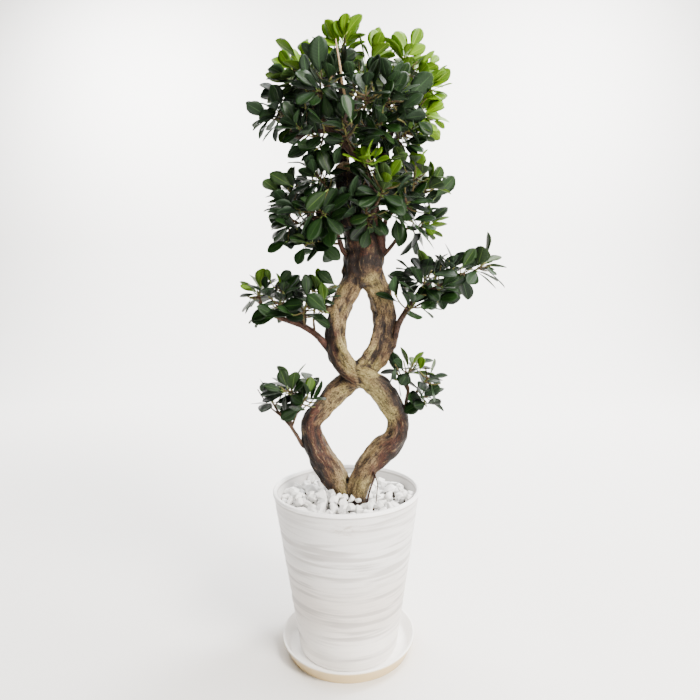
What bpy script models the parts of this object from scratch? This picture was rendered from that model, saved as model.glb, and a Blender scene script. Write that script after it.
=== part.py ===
# Potted Chinese banyan: two stems that twine twice and fuse into one trunk, with leafy
# shoots in tiers, in a ridged white pot on its saucer, with a layer of white pebbles.
# Metres, +Z up. The origin is on the pot's axis, on the plane that the saucer stands on.
# The front of the plant faces -Y.
import math

import bmesh
import bpy
import numpy as np
from mathutils import Matrix, Vector
from mathutils.bvhtree import BVHTree

MM = 0.001
GAP = 0.3 * MM  # between pieces that touch
SIDES = 32  # round the pot, the saucer and the soil

# The pot, a 24 cm nursery size
RIM_RADIUS = 120 * MM
RIM_HEIGHT = 270 * MM
LIP_HEIGHT = 6 * MM
LIP_OVERHANG = 1.4 * MM
BASE_RADIUS = 81 * MM
WALL = 4.6 * MM
FLOOR = 3.6 * MM
EDGE = 1.3 * MM  # the lip's rounding
RIDGE = 0.7 * MM  # how far a ridge stands out of the wall
RIDGE_HEIGHTS = (252, 224, 192, 158, 120, 84, 46)  # mm above the table
DRAIN_RADIUS = 11 * MM

# The saucer
SAUCER_RIM = 110 * MM
SAUCER_FOOT = 101 * MM
SAUCER_HEIGHT = 24 * MM
SAUCER_FLOOR = 3.5 * MM
SAUCER_WALL = 2.6 * MM
SAUCER_LIP = 0.7 * MM  # the rounding of its rim
SAUCER_BAND = 5 * MM  # the rim's band, which stands out of the wall by
SAUCER_STEP = 1.3 * MM

# The soil and the pebbles
SOIL_TOP = 241 * MM
BED = 10 * MM  # thickness of the gravel under the stones
STONE_LIFT = 2.5 * MM  # of a stone's middle above the gravel
STONE_UNEVEN = 1.5 * MM  # and how much that varies
STONE_TOP = 0.66  # of its width
STONE_PITCH = 13.8 * MM  # of the spiral: the nth stone lies at pitch * sqrt(n)
STONE_SIZES = (11 * MM, 13.5 * MM)  # half of a stone's longest side
STONE_SIDES = 5
STONE_OVERHANG = 1.16  # of its size, kept free to the pot's wall
STOCK_CENTRE = (4 * MM, -13 * MM)  # the root stock, where both stems start
STOCK_RADIUS = 29.7 * MM
STOCK_FOOT = 204 * MM

# Leaves
BLADE = 0.8  # mm, its thickness
CLEAR_BLADE = 2.2  # mm, the thickness that is kept free round a blade
CLEAR_KIN = 1.3  # mm, the same between leaves of one shoot
CLEAR_WOOD = 0.9  # mm, kept free round a limb or a twig
LEAF_NECK = 0.14  # of a leaf, where it may touch its neighbours on the twig
LEAF_WIDTH = 0.60  # of its length
# Outline of a leaf on its left side: along and across as shares of its length and half
# width, and rise as a share of its length. The right side mirrors it.
LEAF_FOOT = (0.0, 0.0, 0.0)
LEAF_SIDE = ((0.38, 0.92, 0.045), (0.78, 0.84, 0.02))
LEAF_TIP = (1.0, 0.0, -0.06)
LEAF_MIDDLE = (0.60, 0.0, -0.02)
GOLDEN = math.radians(137.5)
LEAF_ZONE = (0.96, 0.28)  # of the twig, from its first leaf down to its last
LEAF_SPREAD = (30, 76)  # degrees from the twig, first leaf and last
FIRST_LEAF = 0.84  # its size against the others
LEAF_TRIES = 40
TWIG_TRIES = 60

# Guide points of the woody parts in mm: x, y, z and radius.
LEFT_STEM = (  # from the left of the lower loop to the right of the upper one
    (2, -9, 210, 19), (-4, -9, 242, 16.5), (-9, -9, 260, 17), (-16, -8, 278, 19),
    (-26, -6, 299, 20), (-37, -3, 319, 19.5), (-49, 0, 339, 18.5), (-56, 0, 366, 17), (-53, 0, 383, 17.5), (-33, 4, 405, 19),
    (-10, 8, 430, 19), (15, 10, 449, 17.5), (39, 8, 466, 17), (53, 4, 483, 18),
    (62, 0, 503, 20), (64, 0, 520, 17.5), (65, 0, 541, 17), (62, 0, 567, 18),
    (56, 2, 586, 18.5), (47, 3, 607, 19), (40, 2, 632, 20),
)
RIGHT_STEM = (  # from the right of the lower loop to the left of the upper one
    (11, -15, 210, 18), (15, -16, 242, 14.5), (17, -16, 259, 14.5), (21, -14, 280, 17.5),
    (32, -9, 300, 19), (46, -4, 317, 20), (62, -2, 334, 20.5), (79, 0, 348, 19), (86, 0, 364, 18),
    (86, 0, 380, 17.5), (77, -2, 402, 18), (65, -6, 421, 18.5), (49, -10, 438, 18.5),
    (31, -13, 453, 17.5), (8, -10, 466, 17.5), (-9, -4, 486, 16.5), (-13, 0, 508, 16),
    (-12, 0, 536, 15.5), (-7, 0, 557, 16), (0, 1, 576, 17.5), (14, 2, 604, 19),
    (27, 0, 632, 20),
)
UPPER_TRUNK = (
    (31, 0, 602, 20), (33, 0, 616, 29), (33, 0, 636, 31), (33, 0, 655, 29),
    (26, 0, 685, 26), (17, 0, 714, 25.5), (11, 0, 746, 23), (7, 0, 772, 20.5),
    (6, 0, 783, 17), (6, 0, 788, 9),
)
LIMBS = {  # the reddish limb that rises past the trunk's cut top, then the rest
    "front": ((44, -3, 632, 8), (60, -6, 652, 7.5), (56, -16, 690, 7), (49, -24, 720, 6.8),
              (37, -30, 767, 6.6), (16, -34, 797, 6.2), (-7, -38, 816, 5.6),
              (-28, -42, 842, 4.8), (-42, -42, 868, 3.4)),
    "outer_left": ((-14, -39, 824, 3.4), (-46, -36, 826, 3), (-66, -22, 822, 2.8),
                   (-88, -12, 842, 2.4)),
    "centre": ((8, 6, 768, 9), (4, 16, 797, 8), (6, 18, 844, 6.8), (3, 9, 888, 5.2),
               (-1, 4, 917, 4), (-4, 0, 940, 2.8)),
    "right": ((22, 5, 690, 9), (38, 14, 712, 8.4), (54, 12, 764, 7.4), (66, 0, 807, 6.4),
              (77, -6, 835, 5.4), (86, -8, 867, 4.2), (94, -8, 896, 2.8)),
    "back": ((6, 17, 820, 6), (14, 50, 850, 4.8), (20, 72, 885, 3.8), (26, 78, 916, 2.8)),
    "back_left": ((6, 18, 838, 5), (-20, 44, 858, 4), (-40, 62, 882, 3.2),
                  (-38, 66, 915, 2.6)),
    "back_right": ((66, 0, 807, 5), (78, 30, 840, 4), (86, 56, 868, 3.2),
                   (90, 62, 893, 2.6)),
    "crown_front": ((6, 16, 830, 5.4), (20, -14, 838, 4.4), (34, -46, 846, 2.8)),
    "crown_left": ((3, 10, 882, 4.4), (-30, 0, 880, 3.6), (-62, -6, 888, 2.6)),
    "crown_right": ((77, -6, 835, 4.2), (98, 2, 858, 3.4), (112, 8, 880, 2.6)),
    "mid_left": ((20, -6, 636, 4.6), (2, -10, 650, 4.2), (-5, -18, 668, 3.8),
                 (-13, -26, 692, 3.4), (-15, -30, 722, 3), (-19, -30, 746, 2.4)),
    "mid_far_left": ((16, 0, 700, 5), (-15, 2, 700, 4), (-45, 0, 706, 3.2),
                     (-62, -4, 716, 2.5)),
    "mid_back": ((18, 10, 688, 5), (16, 40, 705, 4), (20, 62, 727, 3.2),
                 (24, 74, 745, 2.5)),
    "mid_back_left": ((10, 8, 722, 4.4), (-14, 36, 728, 3.4), (-34, 58, 740, 2.5)),
    "mid_front": ((26, -12, 668, 4.6), (34, -44, 682, 3.8), (44, -62, 700, 3.2),
                  (50, -70, 714, 2.5)),
    "mid_right": ((46, 0, 636, 4.6), (62, 1, 658, 4.2), (66, -8, 690, 3.6),
                  (72, -13, 708, 3.4), (95, -18, 721, 2.9), (108, -20, 727, 2.4)),
    "low_right": ((50, -4, 632, 4), (66, -4, 647, 3.4), (84, -14, 669, 3),
                  (93, -22, 688, 2.4)),
    "mid_back_right": ((54, 12, 760, 4), (76, 36, 762, 3.2), (92, 56, 763, 2.5)),
    "right_arm": ((66, 0, 486, 6), (78, 0, 503, 5.4), (86, -8, 534, 5), (95, -12, 552, 4.6),
                  (107, -14, 569, 4.2), (124, -16, 583, 3.8), (158, -18, 598, 3.2),
                  (190, -18, 613, 2.4)),
    "right_arm_back": ((107, -14, 569, 3.6), (120, 12, 585, 3), (138, 32, 600, 2.4)),
    "left_arm": ((-10, 0, 484, 6.4), (-24, 0, 496, 6), (-40, -6, 517, 5.4),
                 (-62, -10, 534, 4.8), (-84, -12, 543, 4.2), (-104, -12, 550, 3.6),
                 (-120, -12, 560, 3), (-134, -12, 575, 2.4)),
    "left_arm_back": ((-62, -10, 534, 3.6), (-70, 14, 552, 3), (-76, 30, 567, 2.4)),
    "low_left_twig": ((-50, 0, 338, 3.8), (-68, -1, 338, 3.4), (-78, -6, 356, 3),
                      (-88, -12, 378, 2.8), (-84, -17, 404, 2.5), (-79, -20, 421, 2.2)),
    "low_left_fork": ((-84, -9, 368, 2.6), (-100, 0, 385, 2.4), (-112, 4, 398, 2.1)),
    "low_right_twig": ((80, 0, 392, 3.8), (96, 0, 394, 3.4), (99, -8, 415, 3),
                       (101, -12, 434, 2.6), (94, -14, 449, 2.2)),
    "low_right_fork": ((97, -4, 403, 2.8), (108, -6, 412, 2.5), (116, -8, 428, 2.3),
                       (120, -8, 440, 2.1)),
}

# Each shoot: the limb that it grows from, where along the limb (0 to 1), its tip in mm,
# its leaves, and the length of a full leaf in mm.
SHOOTS = {
    "crown_top_a": ("centre", 0.94, (5, 2, 966), 6, 42),
    "crown_top_b": ("centre", 0.62, (51, -22, 941), 5, 39),
    "crown_top_c": ("right", 0.94, (98, -12, 936), 5, 40),
    "crown_right_a": ("crown_right", 0.9, (129, 0, 909), 5, 38),
    "crown_right_b": ("crown_right", 0.5, (130, 24, 876), 5, 37),
    "crown_front_right": ("crown_front", 0.8, (82, -70, 864), 5, 38),
    "crown_front": ("crown_front", 0.94, (36, -90, 868), 6, 39),
    "crown_front_left": ("front", 0.94, (-12, -82, 884), 6, 38),
    "crown_left_top": ("crown_left", 0.5, (-50, -32, 924), 5, 38),
    "crown_left_a": ("crown_left", 0.92, (-85, 4, 911), 6, 38),
    "crown_left_b": ("outer_left", 0.8, (-88, -18, 868), 5, 37),
    "crown_left_low": ("front", 0.72, (-62, -50, 826), 5, 37),
    "crown_low_front": ("front", 0.6, (2, -78, 830), 5, 38),
    "crown_low_right": ("crown_front", 0.5, (58, -70, 824), 5, 38),
    "crown_low_far_right": ("right", 0.6, (108, -24, 832), 5, 38),
    "crown_back_a": ("back_left", 0.94, (-32, 72, 950), 4, 38),
    "crown_back_b": ("back", 0.94, (34, 80, 952), 5, 38),
    "crown_back_c": ("back_right", 0.94, (92, 68, 928), 5, 38),
    "crown_back_d": ("back_left", 0.6, (-66, 70, 898), 4, 38),
    "crown_back_e": ("back", 0.6, (6, 106, 903), 5, 38),
    "crown_back_f": ("back_right", 0.6, (94, 84, 868), 4, 38),
    "mid_left_top": ("mid_left", 0.93, (-39, -22, 770), 5, 37),
    "mid_left_far": ("mid_far_left", 0.93, (-82, 0, 750), 5, 38),
    "mid_left_front": ("mid_left", 0.6, (-36, -64, 709), 5, 38),
    "mid_left_low": ("mid_far_left", 0.7, (-82, -20, 692), 5, 37),
    "mid_left_under": ("mid_left", 0.3, (-53, -32, 662), 4, 37),
    "mid_back_left": ("mid_back_left", 0.9, (-50, 80, 756), 4, 38),
    "mid_top": ("front", 0.47, (36, -64, 776), 4, 36),
    "mid_front": ("mid_front", 0.93, (62, -86, 736), 6, 40),
    "mid_right_top": ("mid_right", 0.93, (111, -22, 775), 5, 37),
    "mid_right_far": ("mid_right", 0.82, (142, 4, 757), 5, 37),
    "mid_front_low": ("mid_front", 0.5, (34, -80, 702), 4, 36),
    "mid_right_front": ("mid_right", 0.62, (102, -50, 721), 5, 37),
    "mid_right_low": ("low_right", 0.92, (126, -14, 686), 5, 37),
    "mid_back": ("mid_back", 0.92, (30, 94, 768), 5, 38),
    "mid_back_right": ("mid_back_right", 0.9, (106, 78, 764), 4, 38),
    "right_mid": ("right_arm", 0.58, (128, -20, 623), 5, 37),
    "right_top": ("right_arm", 0.8, (176, -10, 630), 5, 37),
    "right_far": ("right_arm", 0.96, (221, -20, 630), 6, 43),
    "right_low": ("right_arm", 0.66, (150, -40, 592), 4, 36),
    "right_near": ("right_arm", 0.36, (110, -34, 570), 5, 37),
    "right_back": ("right_arm_back", 0.9, (162, 46, 619), 4, 37),
    "left_far": ("left_arm", 0.95, (-134, 0, 596), 5, 37),
    "left_mid": ("left_arm", 0.72, (-92, -34, 589), 5, 37),
    "left_front": ("left_arm", 0.46, (-54, -50, 578), 5, 38),
    "left_near": ("left_arm", 0.34, (-36, -24, 596), 5, 38),
    "left_back": ("left_arm_back", 0.9, (-80, 44, 585), 4, 37),
    "low_left_a": ("low_left_twig", 0.93, (-88, -12, 446), 4, 37),
    "low_left_b": ("low_left_twig", 0.75, (-58, -40, 428), 4, 36),
    "low_left_c": ("low_left_fork", 0.9, (-122, 8, 420), 4, 36),
    "low_left_d": ("low_left_twig", 0.55, (-62, 26, 420), 3, 36),
    "low_right_a": ("low_right_twig", 0.93, (108, 0, 468), 4, 36),
    "low_right_b": ("low_right_fork", 0.92, (134, -22, 452), 4, 37),
    "low_right_c": ("low_right_fork", 0.5, (134, 2, 416), 4, 36),
    "low_right_d": ("low_right_twig", 0.72, (82, 24, 460), 4, 36),
}
PATH_KNEES = (0, 0.46, 1)  # where a shoot's path bends
STUB_SHARE = 0.75  # of the path's first run, which belongs to the limb
STUB_RADIUS = 2.0  # mm
TWIG_RADII = (2.0, 1.5)  # mm, at its foot and at its tip
THICK_LIMB = 4.5  # mm, the radius from which a limb has six sides and not four


def clear_scene():
    for thing in list(bpy.data.objects):
        bpy.data.objects.remove(thing, do_unlink=True)


def make_material(name, colour, roughness):
    material = bpy.data.materials.new(name)
    material.use_nodes = True
    shader = material.node_tree.nodes["Principled BSDF"]
    shader.inputs["Base Color"].default_value = (*colour, 1)
    shader.inputs["Roughness"].default_value = roughness
    shader.inputs["Metallic"].default_value = 0
    return material


def make_collection(name):
    collection = bpy.data.collections.new(name)
    bpy.context.scene.collection.children.link(collection)
    return collection


def add_object(name, data, collection, material=None):
    thing = bpy.data.objects.new(name, data)
    collection.objects.link(thing)
    if material:
        thing.data.materials.clear()
        thing.data.materials.append(material)
    return thing


def turned(name, profile, collection, material):
    """A solid turned round the Z axis from (radius, height) points, outer side first."""
    mesh = bpy.data.meshes.new(name)
    points = [(radius, 0, height) for radius, height in profile]
    edges = [(i, i + 1) for i in range(len(points) - 1)]
    if profile[0][0] > 0:  # a ring, closed on itself
        edges.append((len(points) - 1, 0))
    mesh.from_pydata(points, edges, [])
    thing = add_object(name, mesh, collection, material)
    screw = thing.modifiers.new("turn", "SCREW")
    screw.steps = SIDES
    screw.render_steps = SIDES
    screw.use_merge_vertices = True
    screw.merge_threshold = 0.00001
    return thing


def baked(thing, name):
    """The object as its modifiers make it, as a plain mesh object in the same place."""
    graph = bpy.context.evaluated_depsgraph_get()
    mesh = bpy.data.meshes.new_from_object(thing.evaluated_get(graph))
    shape = bmesh.new()
    shape.from_mesh(mesh)
    bmesh.ops.remove_doubles(shape, verts=shape.verts, dist=0.000001)
    shape.to_mesh(mesh)
    shape.free()
    copy = bpy.data.objects.new(name, mesh)
    copy.matrix_world = thing.matrix_world
    bpy.data.objects.remove(thing, do_unlink=True)
    return copy


def united(name, solids, collection, material):
    """One body from overlapping solids, by one Boolean union on a collection of them."""
    body = add_object("body", solids[0].data, collection)
    bpy.data.objects.remove(solids[0], do_unlink=True)
    others = make_collection("joined")
    for solid in solids[1:]:
        others.objects.link(solid)
    union = body.modifiers.new("union", "BOOLEAN")
    union.operation = "UNION"
    union.operand_type = "COLLECTION"
    union.collection = others
    union.solver = "MANIFOLD"
    joined = baked(body, name)
    for solid in list(others.objects):
        bpy.data.objects.remove(solid, do_unlink=True)
    bpy.data.collections.remove(others)
    collection.objects.link(joined)
    joined.data.materials.clear()
    joined.data.materials.append(material)
    return joined


def rod(name, path, resolution, collection):
    """A tube along rows of x, y, z and radius in mm, as a curve made a mesh."""
    curve = bpy.data.curves.new(name, "CURVE")
    curve.dimensions = "3D"
    curve.bevel_depth = MM
    curve.bevel_resolution = resolution
    curve.use_fill_caps = True
    spline = curve.splines.new("POLY")
    spline.points.add(len(path) - 1)
    for point, row in zip(spline.points, path):
        point.co = (row[0] * MM, row[1] * MM, row[2] * MM, 1)
        point.radius = row[3]
    return baked(add_object(name, curve, collection), name)


def build_pot(collection, material):
    wall_top = RIM_HEIGHT - LIP_HEIGHT
    wall_radius = RIM_RADIUS - LIP_OVERHANG

    def wall_at(height):
        share = (height - SAUCER_FLOOR) / (wall_top - SAUCER_FLOOR)
        return BASE_RADIUS + (wall_radius - BASE_RADIUS) * share

    base = SAUCER_FLOOR + GAP
    floor = base + FLOOR
    outer = [
        (RIM_RADIUS - EDGE, RIM_HEIGHT),
        (RIM_RADIUS, RIM_HEIGHT - EDGE),
        (RIM_RADIUS, wall_top + EDGE),
        (wall_at(wall_top), wall_top),
    ]
    for i, height in enumerate(RIDGE_HEIGHTS):
        bulge = RIDGE if i % 2 == 0 else -RIDGE
        outer.append((wall_at(height * MM) + bulge, height * MM))
    outer += [(wall_at(base + 2 * EDGE), base + 2 * EDGE), (BASE_RADIUS - EDGE, base)]
    inner = [
        (DRAIN_RADIUS, base),
        (DRAIN_RADIUS, floor),
        (wall_at(floor) - WALL, floor),
        (wall_at(RIM_HEIGHT) - WALL, RIM_HEIGHT),
    ]
    turned("pot", outer + inner, collection, material)
    return lambda height: wall_at(height) - WALL


def build_saucer(collection, material):
    inner_foot = SAUCER_FOOT - 2 * SAUCER_STEP
    profile = [
        (0, SAUCER_FLOOR),
        (inner_foot - SAUCER_WALL, SAUCER_FLOOR),
        (inner_foot, SAUCER_FLOOR + SAUCER_WALL),
        (SAUCER_RIM - SAUCER_WALL, SAUCER_HEIGHT - SAUCER_LIP),
        (SAUCER_RIM - SAUCER_WALL / 2, SAUCER_HEIGHT),
        (SAUCER_RIM, SAUCER_HEIGHT - SAUCER_LIP),
        (SAUCER_RIM, SAUCER_HEIGHT - SAUCER_BAND + SAUCER_LIP),
        (SAUCER_RIM - SAUCER_STEP, SAUCER_HEIGHT - SAUCER_BAND),
        (SAUCER_FOOT, SAUCER_LIP),
        (SAUCER_FOOT - SAUCER_LIP, 0),
        (0, 0),
    ]
    turned("saucer", profile, collection, material)


def plain_hole(name, radius, low, high, collection):
    """A cutter for the hole that the root stock stands in."""
    shape = bmesh.new()
    place = Matrix.Translation((*STOCK_CENTRE, (low + high) / 2))
    bmesh.ops.create_cone(
        shape, cap_ends=True, segments=24, radius1=radius, radius2=radius,
        depth=high - low, matrix=place,
    )
    mesh = bpy.data.meshes.new(name)
    shape.to_mesh(mesh)
    shape.free()
    cutter = add_object(name, mesh, collection)
    cutter.hide_render = True
    cutter.display_type = "WIRE"
    return cutter


def cut(thing, cutter):
    hole = thing.modifiers.new("hole", "BOOLEAN")
    hole.operation = "DIFFERENCE"
    hole.object = cutter


def build_soil(inside, collection, cutters, material):
    floor = SAUCER_FLOOR + GAP + FLOOR + GAP
    profile = [
        (0, SOIL_TOP),
        (inside(SOIL_TOP) - GAP, SOIL_TOP),
        (inside(floor) - GAP, floor),
        (0, floor),
    ]
    soil = turned("soil", profile, collection, material)
    hole = plain_hole(
        "soil_hole", STOCK_RADIUS + GAP, STOCK_FOOT - GAP, SOIL_TOP + BED, cutters
    )
    cut(soil, hole)


def stone(centre, size, rng, number):
    """A blunt chip, narrower at its top, stretched, turned and dented by seeded draws."""
    shape = bmesh.new()
    bmesh.ops.create_cone(
        shape, cap_ends=True, segments=STONE_SIDES, radius1=1, radius2=STONE_TOP, depth=1.5
    )
    turn = Matrix.Rotation(rng.uniform(0, math.tau), 3, "Z")
    tilt = Matrix.Rotation(rng.uniform(-0.35, 0.35), 3, "X")
    stretch = Vector((size, size * rng.uniform(0.72, 0.9), size * rng.uniform(0.66, 0.8)))
    for vertex in shape.verts:
        dent = rng.uniform(0.88, 1.08)
        vertex.co = turn @ (tilt @ (vertex.co * dent * stretch)) + Vector(centre)
    mesh = bpy.data.meshes.new("stone")
    shape.to_mesh(mesh)
    shape.free()
    return bpy.data.objects.new(f"stone_{number}", mesh)


def build_pebbles(inside, collection, cutters, material):
    """A gravel bed with stones on a golden-angle spiral, each sunk in it by about half."""
    rng = np.random.default_rng(11)
    bottom = SOIL_TOP + GAP
    top = bottom + BED
    bed = turned(
        "bed",
        [(0, top), (inside(top) - GAP, top), (inside(bottom) - GAP, bottom), (0, bottom)],
        collection,
        material,
    )
    cut(bed, plain_hole("bed_hole", STOCK_RADIUS + GAP, bottom - BED, top + BED, cutters))
    solids = [baked(bed, "bed")]
    reach = inside(top) - GAP
    for i in range(int((reach / STONE_PITCH) ** 2)):
        angle = i * GOLDEN
        size = rng.uniform(*STONE_SIZES)
        lift = STONE_LIFT + rng.uniform(-STONE_UNEVEN, STONE_UNEVEN)
        radius = min(STONE_PITCH * math.sqrt(i + 0.5), reach - size * STONE_OVERHANG)
        x, y = radius * math.cos(angle), radius * math.sin(angle)
        off_stock = math.hypot(x - STOCK_CENTRE[0], y - STOCK_CENTRE[1])
        if off_stock < STOCK_RADIUS + size:
            continue
        solids.append(stone((x, y, top + lift), size, rng, i))
    united("pebbles", solids, collection, material)


def along(path, share):
    """Point and direction at a share of a path's length."""
    steps = np.linalg.norm(np.diff(path[:, :3], axis=0), axis=1)
    reach = np.concatenate([[0], np.cumsum(steps)])
    at = share * reach[-1]
    i = min(int(np.searchsorted(reach, at, side="right")) - 1, len(steps) - 1)
    part = (at - reach[i]) / steps[i]
    point = path[i, :3] + (path[i + 1, :3] - path[i, :3]) * part
    return point, (path[i + 1, :3] - path[i, :3]) / steps[i]


def unit(vector):
    return vector / np.linalg.norm(vector)


def tube_faces(path, spare, sides=8):
    """Plain tube round rows of x, y, z and radius in mm, for tests of what is clear."""
    points = path[:, :3]
    steps = np.diff(points, axis=0)
    steps /= np.linalg.norm(steps, axis=1)[:, None]
    ahead = np.vstack([steps[:1], steps[:-1] + steps[1:], steps[-1:]])
    ahead /= np.linalg.norm(ahead, axis=1)[:, None]
    side = np.zeros_like(ahead)
    last = np.cross(ahead[0], (0.3, 1.0, 0.2))
    for i, way in enumerate(ahead):  # carried along, so that the tube has no twist
        last = unit(last - way * way.dot(last))
        side[i] = last
    other = np.cross(ahead, side)
    turn = np.arange(sides) * math.tau / sides
    ring = (np.cos(turn)[None, :, None] * side[:, None]
            + np.sin(turn)[None, :, None] * other[:, None])
    vertices = points[:, None] + ring * (path[:, 3] + spare)[:, None, None]
    i, j = np.meshgrid(np.arange(len(path) - 1), np.arange(sides), indexing="ij")
    k = (j + 1) % sides
    quads = np.stack([i * sides + j, i * sides + k, (i + 1) * sides + k,
                      (i + 1) * sides + j], axis=-1).reshape(-1, 4)
    return vertices.reshape(-1, 3), quads


def tree_of(vertices, faces):
    return BVHTree.FromPolygons(vertices.tolist(), [tuple(face) for face in faces.tolist()])


def shoot_path(limb, tip, bend):
    """A cubic curve from the limb's point to the tip, leaving along the limb."""
    start, ahead = limb
    chord = tip - start
    length = np.linalg.norm(chord)
    up = np.array([0, 0, 1.0])
    first = start + (0.22 * ahead + 0.14 * chord / length) * length + bend * length
    last = tip - (0.2 * up + 0.16 * chord / length) * length + bend * length
    t = np.array(PATH_KNEES, float)[:, None]
    return ((1 - t) ** 3 * start + 3 * (1 - t) ** 2 * t * first
            + 3 * (1 - t) * t**2 * last + t**3 * tip)


def split_path(path):
    """The stub that stays with the limb, and the twig beyond the gap."""
    joint = path[0] + (path[1] - path[0]) * STUB_SHARE
    stub = np.vstack([path[0], joint])
    twig = np.vstack([joint + unit(path[1] - path[0]) * GAP / MM, path[1:]])
    stub_radii = np.full(len(stub), STUB_RADIUS)
    twig_radii = np.linspace(*TWIG_RADII, len(twig))
    return np.column_stack([stub, stub_radii]), np.column_stack([twig, twig_radii])


def plan_shoots(limbs, stems, rng):
    """Every shoot's stub and twig, bent until the twig is clear of all other wood."""
    taken = {name: tree_of(*tube_faces(path, CLEAR_WOOD)) for name, path in limbs.items()}
    for i, stem in enumerate(stems):
        taken[i] = tree_of(*tube_faces(stem, CLEAR_WOOD, 16))
    plans = {}
    for name, (limb, share, tip, _, _) in SHOOTS.items():
        for attempt in range(TWIG_TRIES):
            bend = rng.normal(0, 0.004 * attempt, 3)
            path = shoot_path(along(limbs[limb], share), np.array(tip, float), bend)
            stub, twig = split_path(path)
            shape = tree_of(*tube_faces(twig, CLEAR_WOOD))
            stub_shape = tree_of(*tube_faces(stub, CLEAR_WOOD))
            if any(shape.overlap(other) for other in taken.values()):
                continue
            if not any(stub_shape.overlap(taken[earlier]) for earlier in plans):
                break
        else:
            print("no clear way for", name)
        taken[name + "_stub"] = stub_shape
        taken[name] = shape
        plans[name] = (stub, twig)
    return plans, taken


def leaf_points(root, ahead, face, length, thickness):
    """The fourteen corners of a folded leaf, upper face first, in mm."""
    side = np.cross(face, ahead)
    outline = [LEAF_FOOT, *LEAF_SIDE, LEAF_TIP]
    outline += [(u, -v, w) for u, v, w in reversed(LEAF_SIDE)]
    outline.append(LEAF_MIDDLE)
    shares = np.array(outline)
    half = LEAF_WIDTH / 2
    spine = (root + shares[:, :1] * length * ahead
             + shares[:, 1:2] * half * length * side + shares[:, 2:] * length * face)
    return np.vstack([spine + face * thickness / 2, spine - face * thickness / 2])


def leaf_faces():
    """A foot triangle and a fan of five on each face, and a wall of twelve round them."""
    rim, middle = 6, 6
    under = middle + 1
    upper = [(0, rim - 1, 1), (1, rim - 1, middle)]
    upper += [(i + 1, i, middle) for i in range(1, rim - 1)]
    faces = upper + [(under + c, under + b, under + a) for a, b, c in upper]
    for i in range(rim):
        j = (i + 1) % rim
        faces += [(i, j, under + j), (i, under + j, under + i)]
    return faces


LEAF_FACES = np.array(leaf_faces())


def leaf_frame(along_twig, turn, spread, drift):
    """The way a leaf points and the way its upper face looks, from its turn round the
    twig and its angle to it. Both lean up to the light."""
    up = np.array([0, 0, 1.0])
    side = unit(np.cross(along_twig, up + 0.01))
    other = np.cross(along_twig, side)
    out = math.cos(turn) * side + math.sin(turn) * other
    ahead = unit(math.cos(spread) * along_twig + math.sin(spread) * out + 0.12 * up)
    facing = 0.75 * along_twig + 0.65 * up + drift
    return ahead, unit(facing - ahead * facing.dot(ahead))


def leaf_crosses(leaf, name, placed, wood, twig):
    """Whether a leaf meets other wood, a leaf elsewhere, or past its neck its own kin."""
    point, ahead, face, length = leaf
    whole = tree_of(leaf_points(*leaf, CLEAR_BLADE), LEAF_FACES)
    free = point + ahead * LEAF_NECK * length
    outer = leaf_points(free, ahead, face, (1 - LEAF_NECK) * length, CLEAR_KIN)
    outer = tree_of(outer, LEAF_FACES)
    middle = point + ahead * length / 2
    shape = (middle, length * 0.6, whole, outer, name)
    for centre, reach, other_whole, other_outer, owner in placed:
        if np.linalg.norm(centre - middle) > reach + shape[1]:
            continue
        kin = owner == name
        if outer.overlap(other_outer) if kin else whole.overlap(other_whole):
            return True, shape
    if outer.overlap(twig) or any(whole.overlap(tree) for tree in wood):
        return True, shape
    return False, shape


def grow_leaves(plans, taken, rng):
    """Leaves in a spiral round each twig, closer and steeper to its tip. A leaf that
    would cross wood or another leaf is turned, tilted or shortened until it is clear."""
    placed = []
    leaves = {name: [] for name in plans}
    for name, (_, twig) in plans.items():
        count, full = SHOOTS[name][3:]
        first_turn = rng.uniform(0, math.tau)
        wood = [tree for key, tree in taken.items() if key != name]
        for k in range(count):
            down = (k / max(count - 1, 1)) ** 1.1
            share = LEAF_ZONE[0] + (LEAF_ZONE[1] - LEAF_ZONE[0]) * down
            point, along_twig = along(twig, share)
            open_by = LEAF_SPREAD[0] + (LEAF_SPREAD[1] - LEAF_SPREAD[0]) * (k / count) ** 0.7
            for attempt in range(LEAF_TRIES):
                loose = min(attempt * 0.05, 1.0)
                turn = first_turn + k * GOLDEN + rng.normal(0, 0.12 + loose)
                spread = math.radians(open_by) * rng.normal(1, 0.08 + 0.2 * loose)
                frame = leaf_frame(along_twig, turn, spread, rng.normal(0, 0.12, 3))
                length = full * rng.uniform(0.86, 1.04) * (1 - 0.22 * loose)
                if k == 0:
                    length *= FIRST_LEAF
                leaf = (point, *frame, length)
                crosses, shape = leaf_crosses(leaf, name, placed, wood, taken[name])
                if not crosses:
                    placed.append(shape)
                    leaves[name].append(leaf)
                    break
    return leaves


def build_shoot(name, twig, leaves, collection, material):
    solids = [rod("twig", twig, 0, collection)]
    for leaf in leaves:
        mesh = bpy.data.meshes.new("leaf")
        corners = leaf_points(*leaf, BLADE) * MM
        mesh.from_pydata(corners.tolist(), [], [tuple(f) for f in LEAF_FACES.tolist()])
        solids.append(bpy.data.objects.new("leaf", mesh))
    united(name, solids, collection, material)


def build_trunk(limbs, stems, plans, collection, material):
    left, right, upper = stems
    solids = [rod("upper", upper, 3, collection)]
    solids += [rod("stem", stem, 3, collection) for stem in (left, right)]
    centre = [place / MM for place in STOCK_CENTRE]
    foot, radius = STOCK_FOOT / MM, STOCK_RADIUS / MM
    stock = [(*centre, foot, radius), (*centre, foot + 32, radius),
             (*centre, foot + 47, 0.8 * radius)]
    solids.append(rod("stock", stock, 4, collection))
    for path in limbs.values():
        solids.append(rod("limb", path, int(path[0, 3] > THICK_LIMB), collection))
    solids += [rod("stub", stub, 0, collection) for stub, _ in plans.values()]
    united("trunk", solids, collection, material)


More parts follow.
